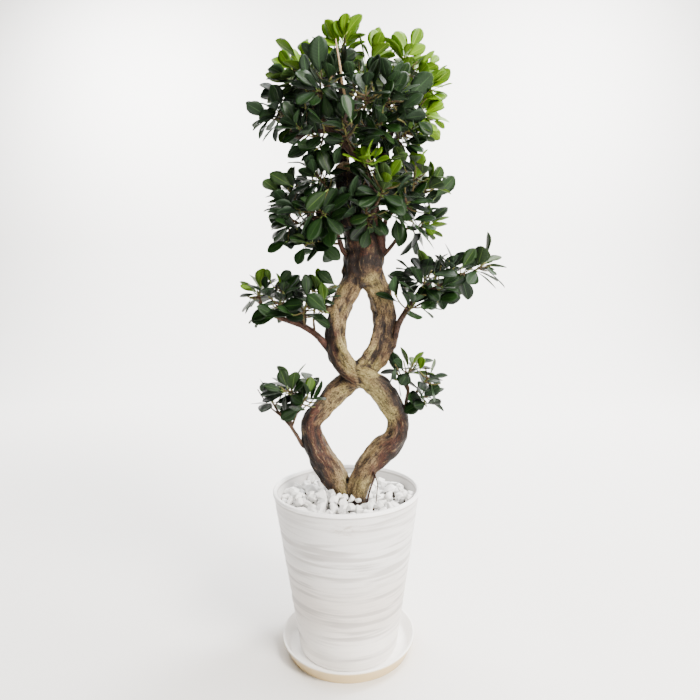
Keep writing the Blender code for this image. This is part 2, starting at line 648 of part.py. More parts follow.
def main():
    clear_scene()
    plant = make_collection("potted_banyan")
    cutters = make_collection("cutters")
    cutters.hide_render = True
    white_plastic = make_material("white_plastic", (0.77, 0.75, 0.72), 0.45)
    white_stone = make_material("white_stone", (0.80, 0.80, 0.78), 0.55)
    dark_soil = make_material("dark_soil", (0.035, 0.022, 0.014), 0.95)
    bark = make_material("bark", (0.24, 0.16, 0.09), 0.75)
    leaf_green = make_material("leaf_green", (0.045, 0.13, 0.025), 0.38)

    build_saucer(plant, white_plastic)
    inside = build_pot(plant, white_plastic)
    build_soil(inside, plant, cutters, dark_soil)
    build_pebbles(inside, plant, cutters, white_stone)

    rng = np.random.default_rng(24)
    limbs = {name: np.array(guide, float) for name, guide in LIMBS.items()}
    stems = [np.array(guide, float) for guide in (LEFT_STEM, RIGHT_STEM, UPPER_TRUNK)]
    plans, taken = plan_shoots(limbs, stems, rng)
    leaves = grow_leaves(plans, taken, rng)
    build_trunk(limbs, stems, plans, plant, bark)
    for name, (_, twig) in plans.items():
        build_shoot(name, twig, leaves[name], plant, leaf_green)
    print("leaves:", sum(len(grown) for grown in leaves.values()))


main()
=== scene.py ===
import math

import bmesh
import bpy
import numpy as np
from mathutils import Euler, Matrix, Vector, kdtree, noise
from mathutils.bvhtree import BVHTree


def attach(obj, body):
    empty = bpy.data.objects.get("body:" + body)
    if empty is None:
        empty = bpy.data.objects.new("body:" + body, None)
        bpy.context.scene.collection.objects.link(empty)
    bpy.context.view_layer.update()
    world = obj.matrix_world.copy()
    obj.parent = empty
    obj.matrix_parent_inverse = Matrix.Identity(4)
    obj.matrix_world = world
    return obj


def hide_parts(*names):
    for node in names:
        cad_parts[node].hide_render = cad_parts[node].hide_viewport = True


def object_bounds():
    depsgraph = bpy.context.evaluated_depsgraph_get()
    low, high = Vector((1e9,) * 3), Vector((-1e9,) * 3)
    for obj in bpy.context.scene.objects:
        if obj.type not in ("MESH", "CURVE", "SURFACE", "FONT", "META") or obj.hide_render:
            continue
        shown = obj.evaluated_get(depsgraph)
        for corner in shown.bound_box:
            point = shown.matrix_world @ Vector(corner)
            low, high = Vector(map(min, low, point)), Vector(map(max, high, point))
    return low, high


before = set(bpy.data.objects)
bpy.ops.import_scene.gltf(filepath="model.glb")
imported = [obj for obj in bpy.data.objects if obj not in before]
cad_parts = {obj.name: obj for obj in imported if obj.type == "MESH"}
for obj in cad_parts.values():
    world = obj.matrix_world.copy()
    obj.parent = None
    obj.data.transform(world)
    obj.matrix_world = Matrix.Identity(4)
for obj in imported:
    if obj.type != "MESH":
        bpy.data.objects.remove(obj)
cadBox = [list(corner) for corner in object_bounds()]
lowest, highest = (np.array(corner) * 1000 for corner in cadBox)
tau = math.tau
up = np.array([0, 0, 1.0])
golden = math.radians(137.5)


def linear(code):  # an sRGB hex colour as linear RGBA
    parts = [int(code[i:i + 2], 16) / 255 for i in (1, 3, 5)]
    return [c / 12.92 if c <= 0.04045 else ((c + 0.055) / 1.055) ** 2.4 for c in parts] + [1]


def addNode(tree, kind, values=None, out=0, **settings):
    # values are numbers, colours or sockets by input; it gives back an output socket
    node = tree.nodes.new("ShaderNode" + kind)
    for key, value in settings.items():
        setattr(node, key, value)
    for key, value in (values or {}).items():
        if isinstance(value, bpy.types.NodeSocket):
            tree.links.new(value, node.inputs[key])
        else:
            node.inputs[key].default_value = value
    return node.outputs[out]


perMm = 1000  # perMm / size is the Scale of a pattern of that size in mm
colourMix = {"data_type": "RGBA", "out": 2}  # 0 is the share, 6 and 7 the two colours
softStep = {"interpolation_type": "SMOOTHSTEP"}  # from 1 to 2 in, 3 to 4 out


def newMaterial(name, **uniform):
    material = bpy.data.materials.new(name)
    material.use_nodes = True
    tree = material.node_tree
    shader = tree.nodes["Principled BSDF"]
    for key, value in uniform.items():
        shader.inputs[key].default_value = value
    return material, tree, shader


def finishMaterial(tree, shader, colour, height, strength, depthMm, roughness=None):
    normal = addNode(tree, "Bump", {"Strength": strength, "Distance": depthMm / 1000,
                                    "Height": height})
    tree.links.new(colour, shader.inputs["Base Color"])
    tree.links.new(normal, shader.inputs["Normal"])
    if roughness:
        tree.links.new(roughness, shader.inputs["Roughness"])


def layer(tree, colour, source, edges, most, tint):
    # up to this much of a tint, as the source goes from the first edge to the second
    share = addNode(tree, "MapRange", {0: source, 1: edges[0], 2: edges[1], 3: 0, 4: most},
                    **softStep)
    return addNode(tree, "Mix", {0: share, 6: colour, 7: tint}, **colourMix)


def unit(vector):
    return vector / np.linalg.norm(vector, axis=-1, keepdims=True)


def lengthAlong(path):  # how far along its line each row of a path is
    steps = np.linalg.norm(np.diff(path[:, :3], axis=0), axis=1)
    return np.concatenate([[0], np.cumsum(steps)])


def ringsRound(side, other, sides):  # cos a side + sin a other, a ring for each row of side
    angle = np.arange(sides) * tau / sides
    return (np.cos(angle)[None, :, None] * side[:, None]
            + np.sin(angle)[None, :, None] * other[:, None])


def ringQuads(rows, sides, closed=False):  # the faces between rings of points
    i, j = np.meshgrid(np.arange(rows - 1 + closed), np.arange(sides), indexing="ij")
    i2, j2 = (i + 1) % rows, (j + 1) % sides
    return np.stack([i * sides + j, i * sides + j2, i2 * sides + j2, i2 * sides + j],
                    axis=-1).reshape(-1, 4)


def poleTriangles(rows, sides):  # from the end rings to the two poles that follow them
    j = np.arange(sides)
    j2, end = (j + 1) % sides, (rows - 1) * sides
    pole = np.full(sides, rows * sides)
    return np.vstack([np.stack([pole, j2, j], axis=1),
                      np.stack([pole + 1, end + j, end + j2], axis=1)])


def makeMesh(name, points, quads, triangles=()):
    quads = np.asarray(quads, int).reshape(-1, 4)
    triangles = np.asarray(triangles, int).reshape(-1, 3)
    corners = np.concatenate([quads.ravel(), triangles.ravel()])
    sizes = np.repeat([4, 3], [len(quads), len(triangles)])
    mesh = bpy.data.meshes.new(name)
    mesh.vertices.add(len(points))
    mesh.vertices.foreach_set("co", (np.asarray(points) / 1000).astype(np.float32).ravel())
    mesh.loops.add(len(corners))
    mesh.loops.foreach_set("vertex_index", corners.astype(np.int32))
    mesh.polygons.add(len(sizes))
    starts = np.concatenate([[0], np.cumsum(sizes)[:-1]]).astype(np.int32)
    mesh.polygons.foreach_set("loop_start", starts)
    mesh.polygons.foreach_set("use_smooth", np.ones(len(sizes), bool))
    mesh.update(calc_edges=True)
    return mesh


def addPiece(name, mesh, material, slot, *nodes):
    piece = bpy.data.objects.new(name, mesh)
    bpy.context.scene.collection.objects.link(piece)
    mesh.materials.append(material)
    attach(piece, "root")
    if nodes:
        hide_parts(*nodes)


def spin(profile, sides, bend=None):
    # (r, z) rows turned round Z: (r cos a, r sin a, z), r and z moved by bend. The outer side
    # goes up. Rows that start and end on the axis get poles, others close on themselves
    profile = np.asarray(profile, float)
    poles = profile[0, 0] == 0
    rings = profile[1:-1] if poles else profile
    rows = len(rings)
    angle = np.arange(sides) * tau / sides
    radius = np.repeat(rings[:, :1], sides, axis=1)
    height = np.repeat(rings[:, 1:2], sides, axis=1)
    if bend:
        radius, height = bend(radius, height, angle[None, :])
    points = np.stack([radius * np.cos(angle), radius * np.sin(angle), height], axis=-1)
    points = points.reshape(-1, 3)
    if not poles:
        return points, ringQuads(rows, sides, closed=True), []
    points = np.vstack([points, (0, 0, profile[0, 1]), (0, 0, profile[-1, 1])])
    return points, ringQuads(rows, sides), poleTriangles(rows, sides)


def roundedProfile(corners, step=3.0):
    # rows of (r, z, rounding) become a line: arcs at the corners, points in between. It is
    # closed, or it starts and ends on the axis
    line = []
    count = len(corners)
    for k in range(count):
        before, here, after = (np.array(corners[(k + d) % count][:2], float) for d in (-1, 0, 1))
        rounding = corners[k][2]
        if rounding:
            a = here + (before - here) / np.linalg.norm(before - here) * rounding
            b = here + (after - here) / np.linalg.norm(after - here) * rounding
            for t in np.linspace(0, 1, 6):
                line.append((1 - t) ** 2 * a + 2 * t * (1 - t) * here + t * t * b)
        else:
            line.append(here)
    filled = []
    isOpen = corners[0][0] == 0
    for k in range(len(line) - isOpen):
        a, b = line[k], line[(k + 1) % len(line)]
        pieces = max(int(np.linalg.norm(b - a) // step), 1)
        filled += [a + (b - a) * t for t in np.arange(pieces) / pieces]
    return np.array(filled + [line[-1]] * isOpen)


def noiseAt(points, sizeMm, seed=0):  # one value of smooth noise for each row of points
    shift = Vector((seed * 17.3, seed * 9.1, seed * 5.7))
    return np.array([noise.noise(Vector(p) + shift) for p in (points / sizeMm).tolist()])


def addPaint(mesh, name, values, kind="FLOAT", domain="POINT"):  # numbers a material reads
    layer = mesh.attributes.new(name, kind, domain)
    key = {"FLOAT": "value", "FLOAT_COLOR": "color", "FLOAT_VECTOR": "vector"}[kind]
    layer.data.foreach_set(key, np.asarray(values, np.float32).ravel())


# The pot and its saucer
pot = {
    "rimRadius": 120, "rimHeight": 270, "lipHeight": 6, "lipOverhang": 1.4,
    "baseRadius": 81, "base": 3.8, "wall": 4.6, "floor": 3.6, "drainRadius": 11,
    "sides": 160, "ringDepth": 0.975, "ringSize": 8.5, "fineRingSize": 3.06, "patchSize": 34,
    # lip is a painted highlight on the rim
    "white": "#E0DEDC", "middle": "#D6CFC8", "foot": "#FAF6F1", "lip": "#FDFCFB",
    # hollow is the grey of the streaks, and of the painted shade in the rings' hollows and under
    # the lip
    "hollow": "#9E9894", "scuff": "#8A7460",
    # in metres: the heights where the middle's tone and the foot's painted light, bounced up from
    # the saucer, set in, and the scuff
    "middleFade": (0.19, 0.11), "footFade": (0.09, 0.03), "scuffPlace": (0.003, -0.1175, 0.2455),
}
saucer = {
    "rim": 110, "foot": 101, "height": 24, "floor": 3.5, "wall": 2.6, "band": 5, "step": 1.3,
    "ringWidth": 21, "ringLift": 0.35, "sides": 144, "reflectionShare": 0.95,
    "white": "#F3F1EE", "stain": "#D2CBC2", "tan": "#CBB07A",
}


def wallAt(height):
    share = (height - saucer["floor"]) / (pot["rimHeight"] - pot["lipHeight"] - saucer["floor"])
    return pot["baseRadius"] + (pot["rimRadius"] - pot["lipOverhang"] - pot["baseRadius"]) * share


def buildPot():
    top, lip = pot["rimHeight"], pot["rimHeight"] - pot["lipHeight"]
    base, floor = pot["base"], pot["base"] + pot["floor"]
    inner = [(wallAt(z) - pot["wall"], z) for z in (top, floor)]
    profile = roundedProfile([
        (inner[0][0], top, 1.2), (inner[1][0], floor, 6), (pot["drainRadius"], floor, 0.8),
        (pot["drainRadius"], base, 0.8), (pot["baseRadius"] - 8, base, 1),
        (pot["baseRadius"] - 0.2, base, 2.6), (wallAt(lip), lip, 0.5),
        (pot["rimRadius"], lip + 0.5, 1.0), (pot["rimRadius"], top, 2.0),
    ], 1.4)
    shades = []

    def throwingRings(radius, height, angle):
        # r + depth * noise of height, which drifts round the pot and comes and goes in
        # patches; none on the lip, and little near the foot
        x = np.broadcast_to(0.8 * np.cos(angle), height.shape)
        y = np.broadcast_to(0.8 * np.sin(angle), height.shape)
        coarse = np.stack([x, y, height / pot["ringSize"]], axis=-1).reshape(-1, 3)
        fine = np.stack([x * 2.4, y * 2.4, height / pot["fineRingSize"]], axis=-1)
        patch = np.stack([x * 2.2, y * 2.2, height / pot["patchSize"]], axis=-1)
        patch = patch.reshape(-1, 3)
        rings = noiseAt(coarse, 1, 1) + 0.6 * noiseAt(fine.reshape(-1, 3), 1, 2)
        rings *= np.clip(0.85 + 1.1 * noiseAt(patch, 1, 8), 0.3, 1.3)
        rings = rings.reshape(height.shape) * np.clip((height - 10) / 60, 0.25, 1)
        outer = radius > wallAt(height) - 0.5 * pot["wall"]
        fade = np.clip((lip - 4 - height) / 12, 0, 1) * np.clip((height - base - 2) / 10, 0, 1)
        shades.append((outer * fade * rings).ravel())
        return radius + outer * fade * pot["ringDepth"] * rings, height

    mesh = makeMesh("potShell", *spin(profile, pot["sides"], throwingRings))
    addPaint(mesh, "ringShade", shades[0])
    addPiece("potShell", mesh, potPlastic(), "pot_plastic", "pot")


def potPlastic():
    # matt plastic from a mould cut in throwing rings: painted grey shade in the rings' hollows
    material, tree, shader = newMaterial("mouldedMatteWhitePlastic", Roughness=0.48)
    place = addNode(tree, "TexCoord", out="Object")
    height = addNode(tree, "SeparateXYZ", {0: place}, 2)
    rings = addNode(tree, "Attribute", out="Fac", attribute_name="ringShade")
    colour = linear(pot["white"])
    # the rings' hollows get painted shade
    for source, edges, most, tint in ((height, pot["middleFade"], 1, "middle"),
                                      (height, pot["footFade"], 1, "foot"),
                                      (rings, (0.10, -0.42), 0.6, "hollow")):
        colour = layer(tree, colour, source, edges, most, linear(pot[tint]))
    # grey streaks that run round it, fainter near the foot
    flat = addNode(tree, "Mapping", {0: place, "Scale": (0.22, 0.22, 3.0)})
    streaks = addNode(tree, "TexNoise", {0: flat, "Scale": perMm / 15, "Detail": 4})
    share = addNode(tree, "MapRange", {0: streaks, 1: 0.5, 2: 0.72, 3: 0, 4: 0.4}, **softStep)
    clean = addNode(tree, "MapRange", {0: height, 1: 0.02, 2: 0.09, 3: 0.3, 4: 1})
    share = addNode(tree, "Math", {0: share, 1: clean}, operation="MULTIPLY")
    colour = addNode(tree, "Mix", {0: share, 6: colour, 7: linear(pot["hollow"])}, **colourMix)
    # painted shadow in the step under the lip, and a painted highlight on the lip
    lip = (pot["rimHeight"] - pot["lipHeight"]) / 1000
    under = addNode(tree, "MapRange", {0: height, 1: lip - 0.0035, 2: lip - 0.0008, 3: 0,
                                       4: 0.55}, **softStep)
    above = addNode(tree, "MapRange", {0: height, 1: lip + 0.001, 2: lip + 0.0002}, **softStep)
    share = addNode(tree, "Math", {0: under, 1: above}, operation="MULTIPLY")
    colour = addNode(tree, "Mix", {0: share, 6: colour, 7: linear(pot["hollow"])}, **colourMix)
    colour = layer(tree, colour, height, (lip + 0.0005, lip + 0.0015), 1, linear(pot["lip"]))
    # the brown scuff under the lip, in front
    far = addNode(tree, "VectorMath", {0: place, 1: pot["scuffPlace"]}, operation="SUBTRACT")
    far = addNode(tree, "VectorMath", {0: far, 1: (1, 1, 2.2)}, operation="MULTIPLY")
    far = addNode(tree, "VectorMath", {0: far}, "Value", operation="LENGTH")
    near = addNode(tree, "MapRange", {0: far, 1: 0.036, 2: 0.004}, **softStep)
    long = addNode(tree, "Mapping", {0: place, "Scale": (0.5, 0.5, 1.6)})
    spots = addNode(tree, "TexNoise", {0: long, "Scale": perMm / 6, "Detail": 5,
                                       "Roughness": 0.7})
    spots = addNode(tree, "MapRange", {0: spots, 1: 0.46, 2: 0.66, 3: 0, 4: 0.75}, **softStep)
    share = addNode(tree, "Math", {0: near, 1: spots}, operation="MULTIPLY")
    colour = addNode(tree, "Mix", {0: share, 6: colour, 7: linear(pot["scuff"])}, **colourMix)
    grain = addNode(tree, "TexNoise", {0: place, "Scale": perMm / 1.1, "Detail": 3})
    finishMaterial(tree, shader, colour, grain, 0.15, 0.4)
    return material


def buildSaucer():
    s = saucer
    innerFoot = s["foot"] - 2 * s["step"]
    profile = roundedProfile([
        (0, s["ringLift"], 0), (s["foot"] - s["ringWidth"] - 1, s["ringLift"], 0),
        (s["foot"] - s["ringWidth"], 0, 0),
        (s["foot"] - 0.5, 0, 1.2), (s["rim"] - s["step"], s["height"] - s["band"], 0.5),
        (s["rim"], s["height"] - s["band"] + 0.7, 0.5), (s["rim"], s["height"], 1.1),
        (s["rim"] - s["wall"], s["height"], 1.1), (innerFoot, s["floor"], 4),
        (0, s["floor"], 0),
    ], 2.5)
    points, quads, triangles = spin(profile, s["sides"])
    mesh = makeMesh("saucerDish", points, quads, triangles)
    # 1 on the wall's outside, below the rim, where a tan reflection of a wooden floor, with its
    # shade, is painted
    side = s["foot"] + (s["rim"] - s["foot"]) * points[:, 2] / s["height"]
    outside = np.clip((np.hypot(points[:, 0], points[:, 1]) - side + 1.6) / 0.8, 0, 1)
    addPaint(mesh, "outside", outside * np.clip((s["height"] - 1.5 - points[:, 2]) / 2, 0, 1))
    material, tree, shader = newMaterial("mouldedGlossyWhitePlastic", Roughness=0.36)
    place = addNode(tree, "TexCoord", out="Object")
    stains = addNode(tree, "TexNoise", {0: place, "Scale": perMm / 30, "Detail": 4})
    colour = layer(tree, linear(s["white"]), stains, (0.45, 0.8), 0.18, linear(s["stain"]))
    outer = addNode(tree, "Attribute", out="Fac", attribute_name="outside")
    # painted reflection of a wooden floor on the wall's outside
    share = addNode(tree, "Math", {0: outer, 1: s["reflectionShare"]}, operation="MULTIPLY")
    colour = addNode(tree, "Mix", {0: share, 6: colour, 7: linear(s["tan"])}, **colourMix)
    grain = addNode(tree, "TexNoise", {0: place, "Scale": perMm / 1.3, "Detail": 2})
    finishMaterial(tree, shader, colour, grain, 0.08, 0.3)
    addPiece("saucerDish", mesh, material, "pot_plastic", "saucer")


buildPot()
buildSaucer()
print("pot and saucer made")

# The soil and the pebbles
gravel = {
    "seed": 5, "count": 196, "sizes": (6.0, 11.8), "soilTop": 245.5, "layerTop": 265.6,
    "shapes": 14, "corners": 12, "bevel": 0.13, "white": "#FCFBF9", "grey": "#D9DBDB",
    # stones heaped at the left stem's foot: x, y, z and radius; how far and wide they rise
    "heap": ((-38, -34, 265, 12), (-25, -30, 268, 9.5), (-13, -33, 267, 9), (-3, -37, 265, 8),
             (-20, -42, 264, 9), (-37, -20, 267, 9)),
    "heapPlace": (-22, -30), "heapWidth": 24, "heapRise": 11,
    "soil": "#120D0A", "crumb": "#3B2C20", "vein": "#C4C2BC",
}
stemFeet = ((-7, -5, 15.5), (16, -16, 14.5))  # x, y and radius at the gravel


def buildSoil():
    reach = wallAt(gravel["soilTop"]) - pot["wall"] - 0.4
    low = pot["base"] + pot["floor"] + 0.4
    top = gravel["soilTop"]
    rows = [(reach * k / 30, top) for k in range(1, 31)]
    rows = [(0, low), (wallAt(low) - pot["wall"] - 0.4, low), *rows[::-1], (0, top)]

    def crumbs(radius, height, angle):
        rough = np.stack([radius * np.cos(angle), radius * np.sin(angle), height], axis=-1)
        lift = noiseAt(rough.reshape(-1, 3), 11).reshape(height.shape) * 3
        lift += noiseAt(rough.reshape(-1, 3), 4, 3).reshape(height.shape) * 1.6
        lift -= 2
        for x, y, girth in stemFeet:  # soil and root bits are heaped against the stems
            off = np.hypot(rough[..., 0] - x, rough[..., 1] - y) - girth
            lift += 9 * np.exp(-(np.maximum(off, 0) / 7) ** 2)
        return radius, height + np.minimum(lift, 14) * (height > top - 1)

    # peat and bark crumbs, damp and dark between the stones
    material, tree, shader = newMaterial("darkPottingSoil", Roughness=0.92)
    place = addNode(tree, "TexCoord", out="Object")
    crumb = addNode(tree, "TexNoise", {0: place, "Scale": perMm / 3.5, "Detail": 6,
                                       "Roughness": 0.7})
    colour = layer(tree, linear(gravel["soil"]), crumb, (0.35, 0.75), 1,
                   linear(gravel["crumb"]))
    finishMaterial(tree, shader, colour, crumb, 0.8, 1.5)
    mesh = makeMesh("pottingSoil", *spin(rows, 96, crumbs))
    addPiece("pottingSoil", mesh, material, "potting_soil", "soil")


def settleStones():
    # spheres that push each other apart, sink, and stay off the wall and the stems
    rng = np.random.default_rng(gravel["seed"])
    count = gravel["count"]
    size = rng.uniform(*gravel["sizes"], count)
    angle = np.arange(count) * golden
    spread = np.sqrt((np.arange(count) + 0.5) / count) * 104
    place = np.stack([spread * np.cos(angle), spread * np.sin(angle),
                      rng.uniform(6, 22, count) + gravel["soilTop"]], axis=1)
    for step in range(160):
        place[:, 2] -= 0.35
        gap = place[:, None] - place[None]
        away = np.linalg.norm(gap, axis=2) + np.eye(count) * 1e3
        touch = (size[:, None] + size[None]) * 0.94 - away
        push = np.where(touch > 0, touch, 0)[:, :, None] * gap / away[:, :, None]
        place += push.sum(axis=1) * 0.3
        place[:, 2] = np.maximum(place[:, 2], gravel["soilTop"] - 2 + size * 0.5)
        place[:, 2] = np.minimum(place[:, 2], gravel["layerTop"] - size * 0.72)
        flat = np.hypot(place[:, 0], place[:, 1])
        reach = wallAt(place[:, 2]) - pot["wall"] - 0.6 - size * 1.06
        place[:, :2] *= np.minimum(1, reach / flat)[:, None]
        for x, y, radius in stemFeet:
            off = place[:, :2] - (x, y)
            far = np.hypot(*off.T)
            need = radius + size * 0.9
            place[:, :2] += off / far[:, None] * np.maximum(need - far, 0)[:, None]
    return place, size, rng


def stoneShape(rng):  # the hull of a few points near a ball, its edges and corners bevelled
    stone = bmesh.new()
    for point in unit(rng.normal(size=(gravel["corners"], 3))):
        stone.verts.new(point * rng.uniform(0.86, 1.12))
    bmesh.ops.convex_hull(stone, input=stone.verts)
    inside = [vertex for vertex in stone.verts if not vertex.link_faces]
    bmesh.ops.delete(stone, geom=inside, context="VERTS")
    bmesh.ops.dissolve_limit(stone, angle_limit=0.25, verts=stone.verts, edges=stone.edges)
    bmesh.ops.bevel(stone, geom=stone.verts[:] + stone.edges[:], offset=gravel["bevel"],
                    segments=1, profile=0.5, affect="EDGES", clamp_overlap=True)
    bmesh.ops.triangulate(stone, faces=stone.faces)
    bmesh.ops.recalc_face_normals(stone, faces=stone.faces)
    stone.verts.index_update()
    corners = np.array([vertex.co for vertex in stone.verts])
    faces = np.array([[vertex.index for vertex in face.verts] for face in stone.faces])
    stone.free()
    return corners, faces


def buildStones():
    place, size, rng = settleStones()
    heap = np.array(gravel["heap"], float)
    place, size = np.vstack([place, heap[:, :3]]), np.append(size, heap[:, 3])
    shapes = [stoneShape(rng) for k in range(gravel["shapes"])]
    points, triangles, tints, first = [], [], [], 0
    for k in range(len(place)):
        corners, faces = shapes[k % len(shapes)]
        stretch = size[k] * np.array([rng.uniform(1.05, 1.42), rng.uniform(0.86, 1.06),
                                      rng.uniform(0.68, 0.9)])
        tilt = Euler((rng.normal(0, 0.5), rng.normal(0, 0.5), rng.uniform(0, tau)))
        turn = Euler(rng.uniform(0, tau, 3).tolist())
        stone = corners @ np.array(turn.to_matrix()) * stretch
        points.append(stone @ np.array(tilt.to_matrix()).T + place[k])
        triangles.append(faces + first)
        tints.append(np.full(len(corners), rng.uniform()))
        first += len(corners)
    points = np.concatenate(points)
    # no stone is above the layer's top, which rises at the heap, or in the wall
    away = ((points[:, :2] - gravel["heapPlace"]) ** 2).sum(axis=1)
    rise = gravel["heapRise"] * np.exp(-away / gravel["heapWidth"] ** 2)
    points[:, 2] = np.clip(points[:, 2], gravel["soilTop"] - 4, gravel["layerTop"] + 1.4 + rise)
    far = np.hypot(points[:, 0], points[:, 1])
    reach = wallAt(points[:, 2]) - pot["wall"] - 0.3
    points[:, :2] *= np.minimum(1, reach / far)[:, None]
    mesh = makeMesh("whitePebbles", points, [], np.concatenate(triangles))
    mesh.polygons.foreach_set("use_smooth", np.zeros(len(mesh.polygons), bool))
    addPaint(mesh, "stoneTint", np.concatenate(tints))
    # broken white marble, tumbled until its edges are blunt: some stones are greyer
    material, tree, shader = newMaterial("tumbledWhiteMarble", Roughness=0.5)
    place = addNode(tree, "TexCoord", out="Object")
    tint = addNode(tree, "Attribute", out="Fac", attribute_name="stoneTint")
    colour = layer(tree, linear(gravel["white"]), tint, (0.45, 1.0), 0.6,
                   linear(gravel["grey"]))
    veins = addNode(tree, "TexNoise", {0: place, "Scale": perMm / 9, "Detail": 5,
                                       "Roughness": 0.6})
    colour = layer(tree, colour, veins, (0.52, 0.72), 0.4, linear(gravel["vein"]))
    pits = addNode(tree, "TexNoise", {0: place, "Scale": perMm / 1.6, "Detail": 4})
    finishMaterial(tree, shader, colour, pits, 0.3, 0.5)
    addPiece("whitePebbles", mesh, material, "white_stone", "pebbles")


buildSoil()
buildStones()
print("soil and pebbles made")

# The wood. Guide points are x, y, z and radius in mm
leftStem = (  # from the left of the lower loop to the right of the upper one
    (2, -9, 210, 19), (-4, -9, 242, 16.5), (-9, -9, 260, 17), (-16, -8, 278, 19),
    (-26, -6, 299, 20), (-37, -3, 319, 19.5), (-49, 0, 339, 18.5), (-56, 0, 366, 17),
    (-53, 0, 383, 17.5), (-33, 4, 405, 19),
    (-10, 8, 430, 19), (15, 10, 449, 17.5), (39, 8, 466, 17), (53, 4, 483, 18),
    (62, 0, 503, 20), (64, 0, 520, 17.5), (65, 0, 541, 17), (62, 0, 567, 18),
    (56, 2, 586, 18.5), (47, 3, 607, 19), (40, 2, 632, 20),
)
rightStem = (  # from the right of the lower loop to the left of the upper one
    (11, -15, 210, 18), (15, -16, 242, 14.5), (17, -16, 259, 14.5), (21, -14, 280, 17.5),
    (32, -9, 300, 19), (46, -4, 317, 20), (62, -2, 334, 20.5), (79, 0, 348, 19), (86, 0, 364, 18),
    (86, 0, 380, 17.5), (77, -2, 402, 18), (65, -6, 421, 18.5), (49, -10, 438, 18.5),
    (31, -13, 453, 17.5), (8, -10, 466, 17.5), (-9, -4, 486, 16.5), (-13, 0, 508, 16),
    (-12, 0, 536, 15.5), (-7, 0, 557, 16), (0, 1, 576, 17.5), (14, 2, 604, 19),
    (27, 0, 632, 20),
)
upperTrunk = (
    (31, 0, 602, 20), (33, 0, 616, 29), (33, 0, 636, 31), (33, 0, 655, 29),
    (26, 0, 685, 26), (17, 0, 714, 25.5), (11, 0, 746, 23), (7, 0, 772, 20.5),
    (6, 0, 783, 17), (6, 0, 788, 9),
)
stems = (leftStem, rightStem, upperTrunk)
limbs = {  # the reddish limb that rises past the trunk's cut top, then the rest
    "front": ((44, -3, 632, 8), (60, -6, 652, 7.5), (56, -16, 690, 7), (49, -24, 720, 6.8),
              (37, -30, 767, 6.6), (16, -34, 797, 6.2), (-7, -38, 816, 5.6),
              (-28, -42, 842, 4.8), (-42, -42, 868, 3.4)),
    "outer_left": ((-14, -39, 824, 3.4), (-46, -36, 826, 3), (-66, -22, 822, 2.8),
                   (-88, -12, 842, 2.4)),
    "centre": ((8, 6, 768, 9), (4, 16, 797, 8), (6, 18, 844, 6.8), (3, 9, 888, 5.2),
               (-1, 4, 917, 4), (-4, 0, 940, 2.8)),
    "right": ((22, 5, 690, 9), (38, 14, 712, 8.4), (54, 12, 764, 7.4), (66, 0, 807, 6.4),
              (77, -6, 835, 5.4), (86, -8, 867, 4.2), (94, -8, 896, 2.8)),
    "back": ((6, 17, 820, 6), (14, 50, 850, 4.8), (20, 72, 885, 3.8), (26, 78, 916, 2.8)),
    "back_left": ((6, 18, 838, 5), (-20, 44, 858, 4), (-40, 62, 882, 3.2),
                  (-38, 66, 915, 2.6)),
    "back_right": ((66, 0, 807, 5), (78, 30, 840, 4), (86, 56, 868, 3.2),
                   (90, 62, 893, 2.6)),
    "crown_front": ((6, 16, 830, 5.4), (20, -14, 838, 4.4), (34, -46, 846, 2.8)),
    "crown_left": ((3, 10, 882, 4.4), (-30, 0, 880, 3.6), (-62, -6, 888, 2.6)),
    "crown_right": ((77, -6, 835, 4.2), (98, 2, 858, 3.4), (112, 8, 880, 2.6)),
    "mid_left": ((20, -6, 636, 4.6), (2, -10, 650, 4.2), (-5, -18, 668, 3.8),
                 (-13, -26, 692, 3.4), (-15, -30, 722, 3), (-19, -30, 746, 2.4)),
    "mid_far_left": ((16, 0, 700, 5), (-15, 2, 700, 4), (-45, 0, 706, 3.2),
                     (-62, -4, 716, 2.5)),
    "mid_back": ((18, 10, 688, 5), (16, 40, 705, 4), (20, 62, 727, 3.2),
                 (24, 74, 745, 2.5)),
    "mid_back_left": ((10, 8, 722, 4.4), (-14, 36, 728, 3.4), (-34, 58, 740, 2.5)),
    "mid_front": ((26, -12, 668, 4.6), (34, -44, 682, 3.8), (44, -62, 700, 3.2),
                  (50, -70, 714, 2.5)),
    "mid_right": ((46, 0, 636, 4.6), (62, 1, 658, 4.2), (66, -8, 690, 3.6),
                  (72, -13, 708, 3.4), (95, -18, 721, 2.9), (108, -20, 727, 2.4)),
    "low_right": ((50, -4, 632, 4), (66, -4, 647, 3.4), (84, -14, 669, 3),
                  (93, -22, 688, 2.4)),
    "mid_back_right": ((54, 12, 760, 4), (76, 36, 762, 3.2), (92, 56, 763, 2.5)),
    "right_arm": ((66, 0, 486, 6), (78, 0, 503, 5.4), (86, -8, 534, 5), (95, -12, 552, 4.6),
                  (107, -14, 569, 4.2), (124, -16, 583, 3.8), (158, -18, 598, 3.2),
                  (190, -18, 613, 2.4)),
    "right_arm_back": ((107, -14, 569, 3.6), (120, 12, 585, 3), (138, 32, 600, 2.4)),
    "left_arm": ((-10, 0, 484, 6.4), (-24, 0, 496, 6), (-40, -6, 517, 5.4),
                 (-62, -10, 534, 4.8), (-84, -12, 543, 4.2), (-104, -12, 550, 3.6),
                 (-120, -12, 560, 3), (-134, -12, 575, 2.4)),
    "left_arm_back": ((-62, -10, 534, 3.6), (-70, 14, 552, 3), (-76, 30, 567, 2.4)),
    "low_left_twig": ((-50, 0, 338, 3.8), (-68, -1, 338, 3.4), (-78, -6, 356, 3),
                      (-88, -12, 378, 2.8), (-84, -17, 404, 2.5), (-79, -20, 421, 2.2)),
    "low_left_fork": ((-84, -9, 368, 2.6), (-100, 0, 385, 2.4), (-112, 4, 398, 2.1)),
    "low_right_twig": ((80, 0, 392, 3.8), (96, 0, 394, 3.4), (99, -8, 415, 3),
                       (101, -12, 434, 2.6), (94, -14, 449, 2.2)),
    "low_right_fork": ((97, -4, 403, 2.8), (108, -6, 412, 2.5), (116, -8, 428, 2.3),
                       (120, -8, 440, 2.1)),
}
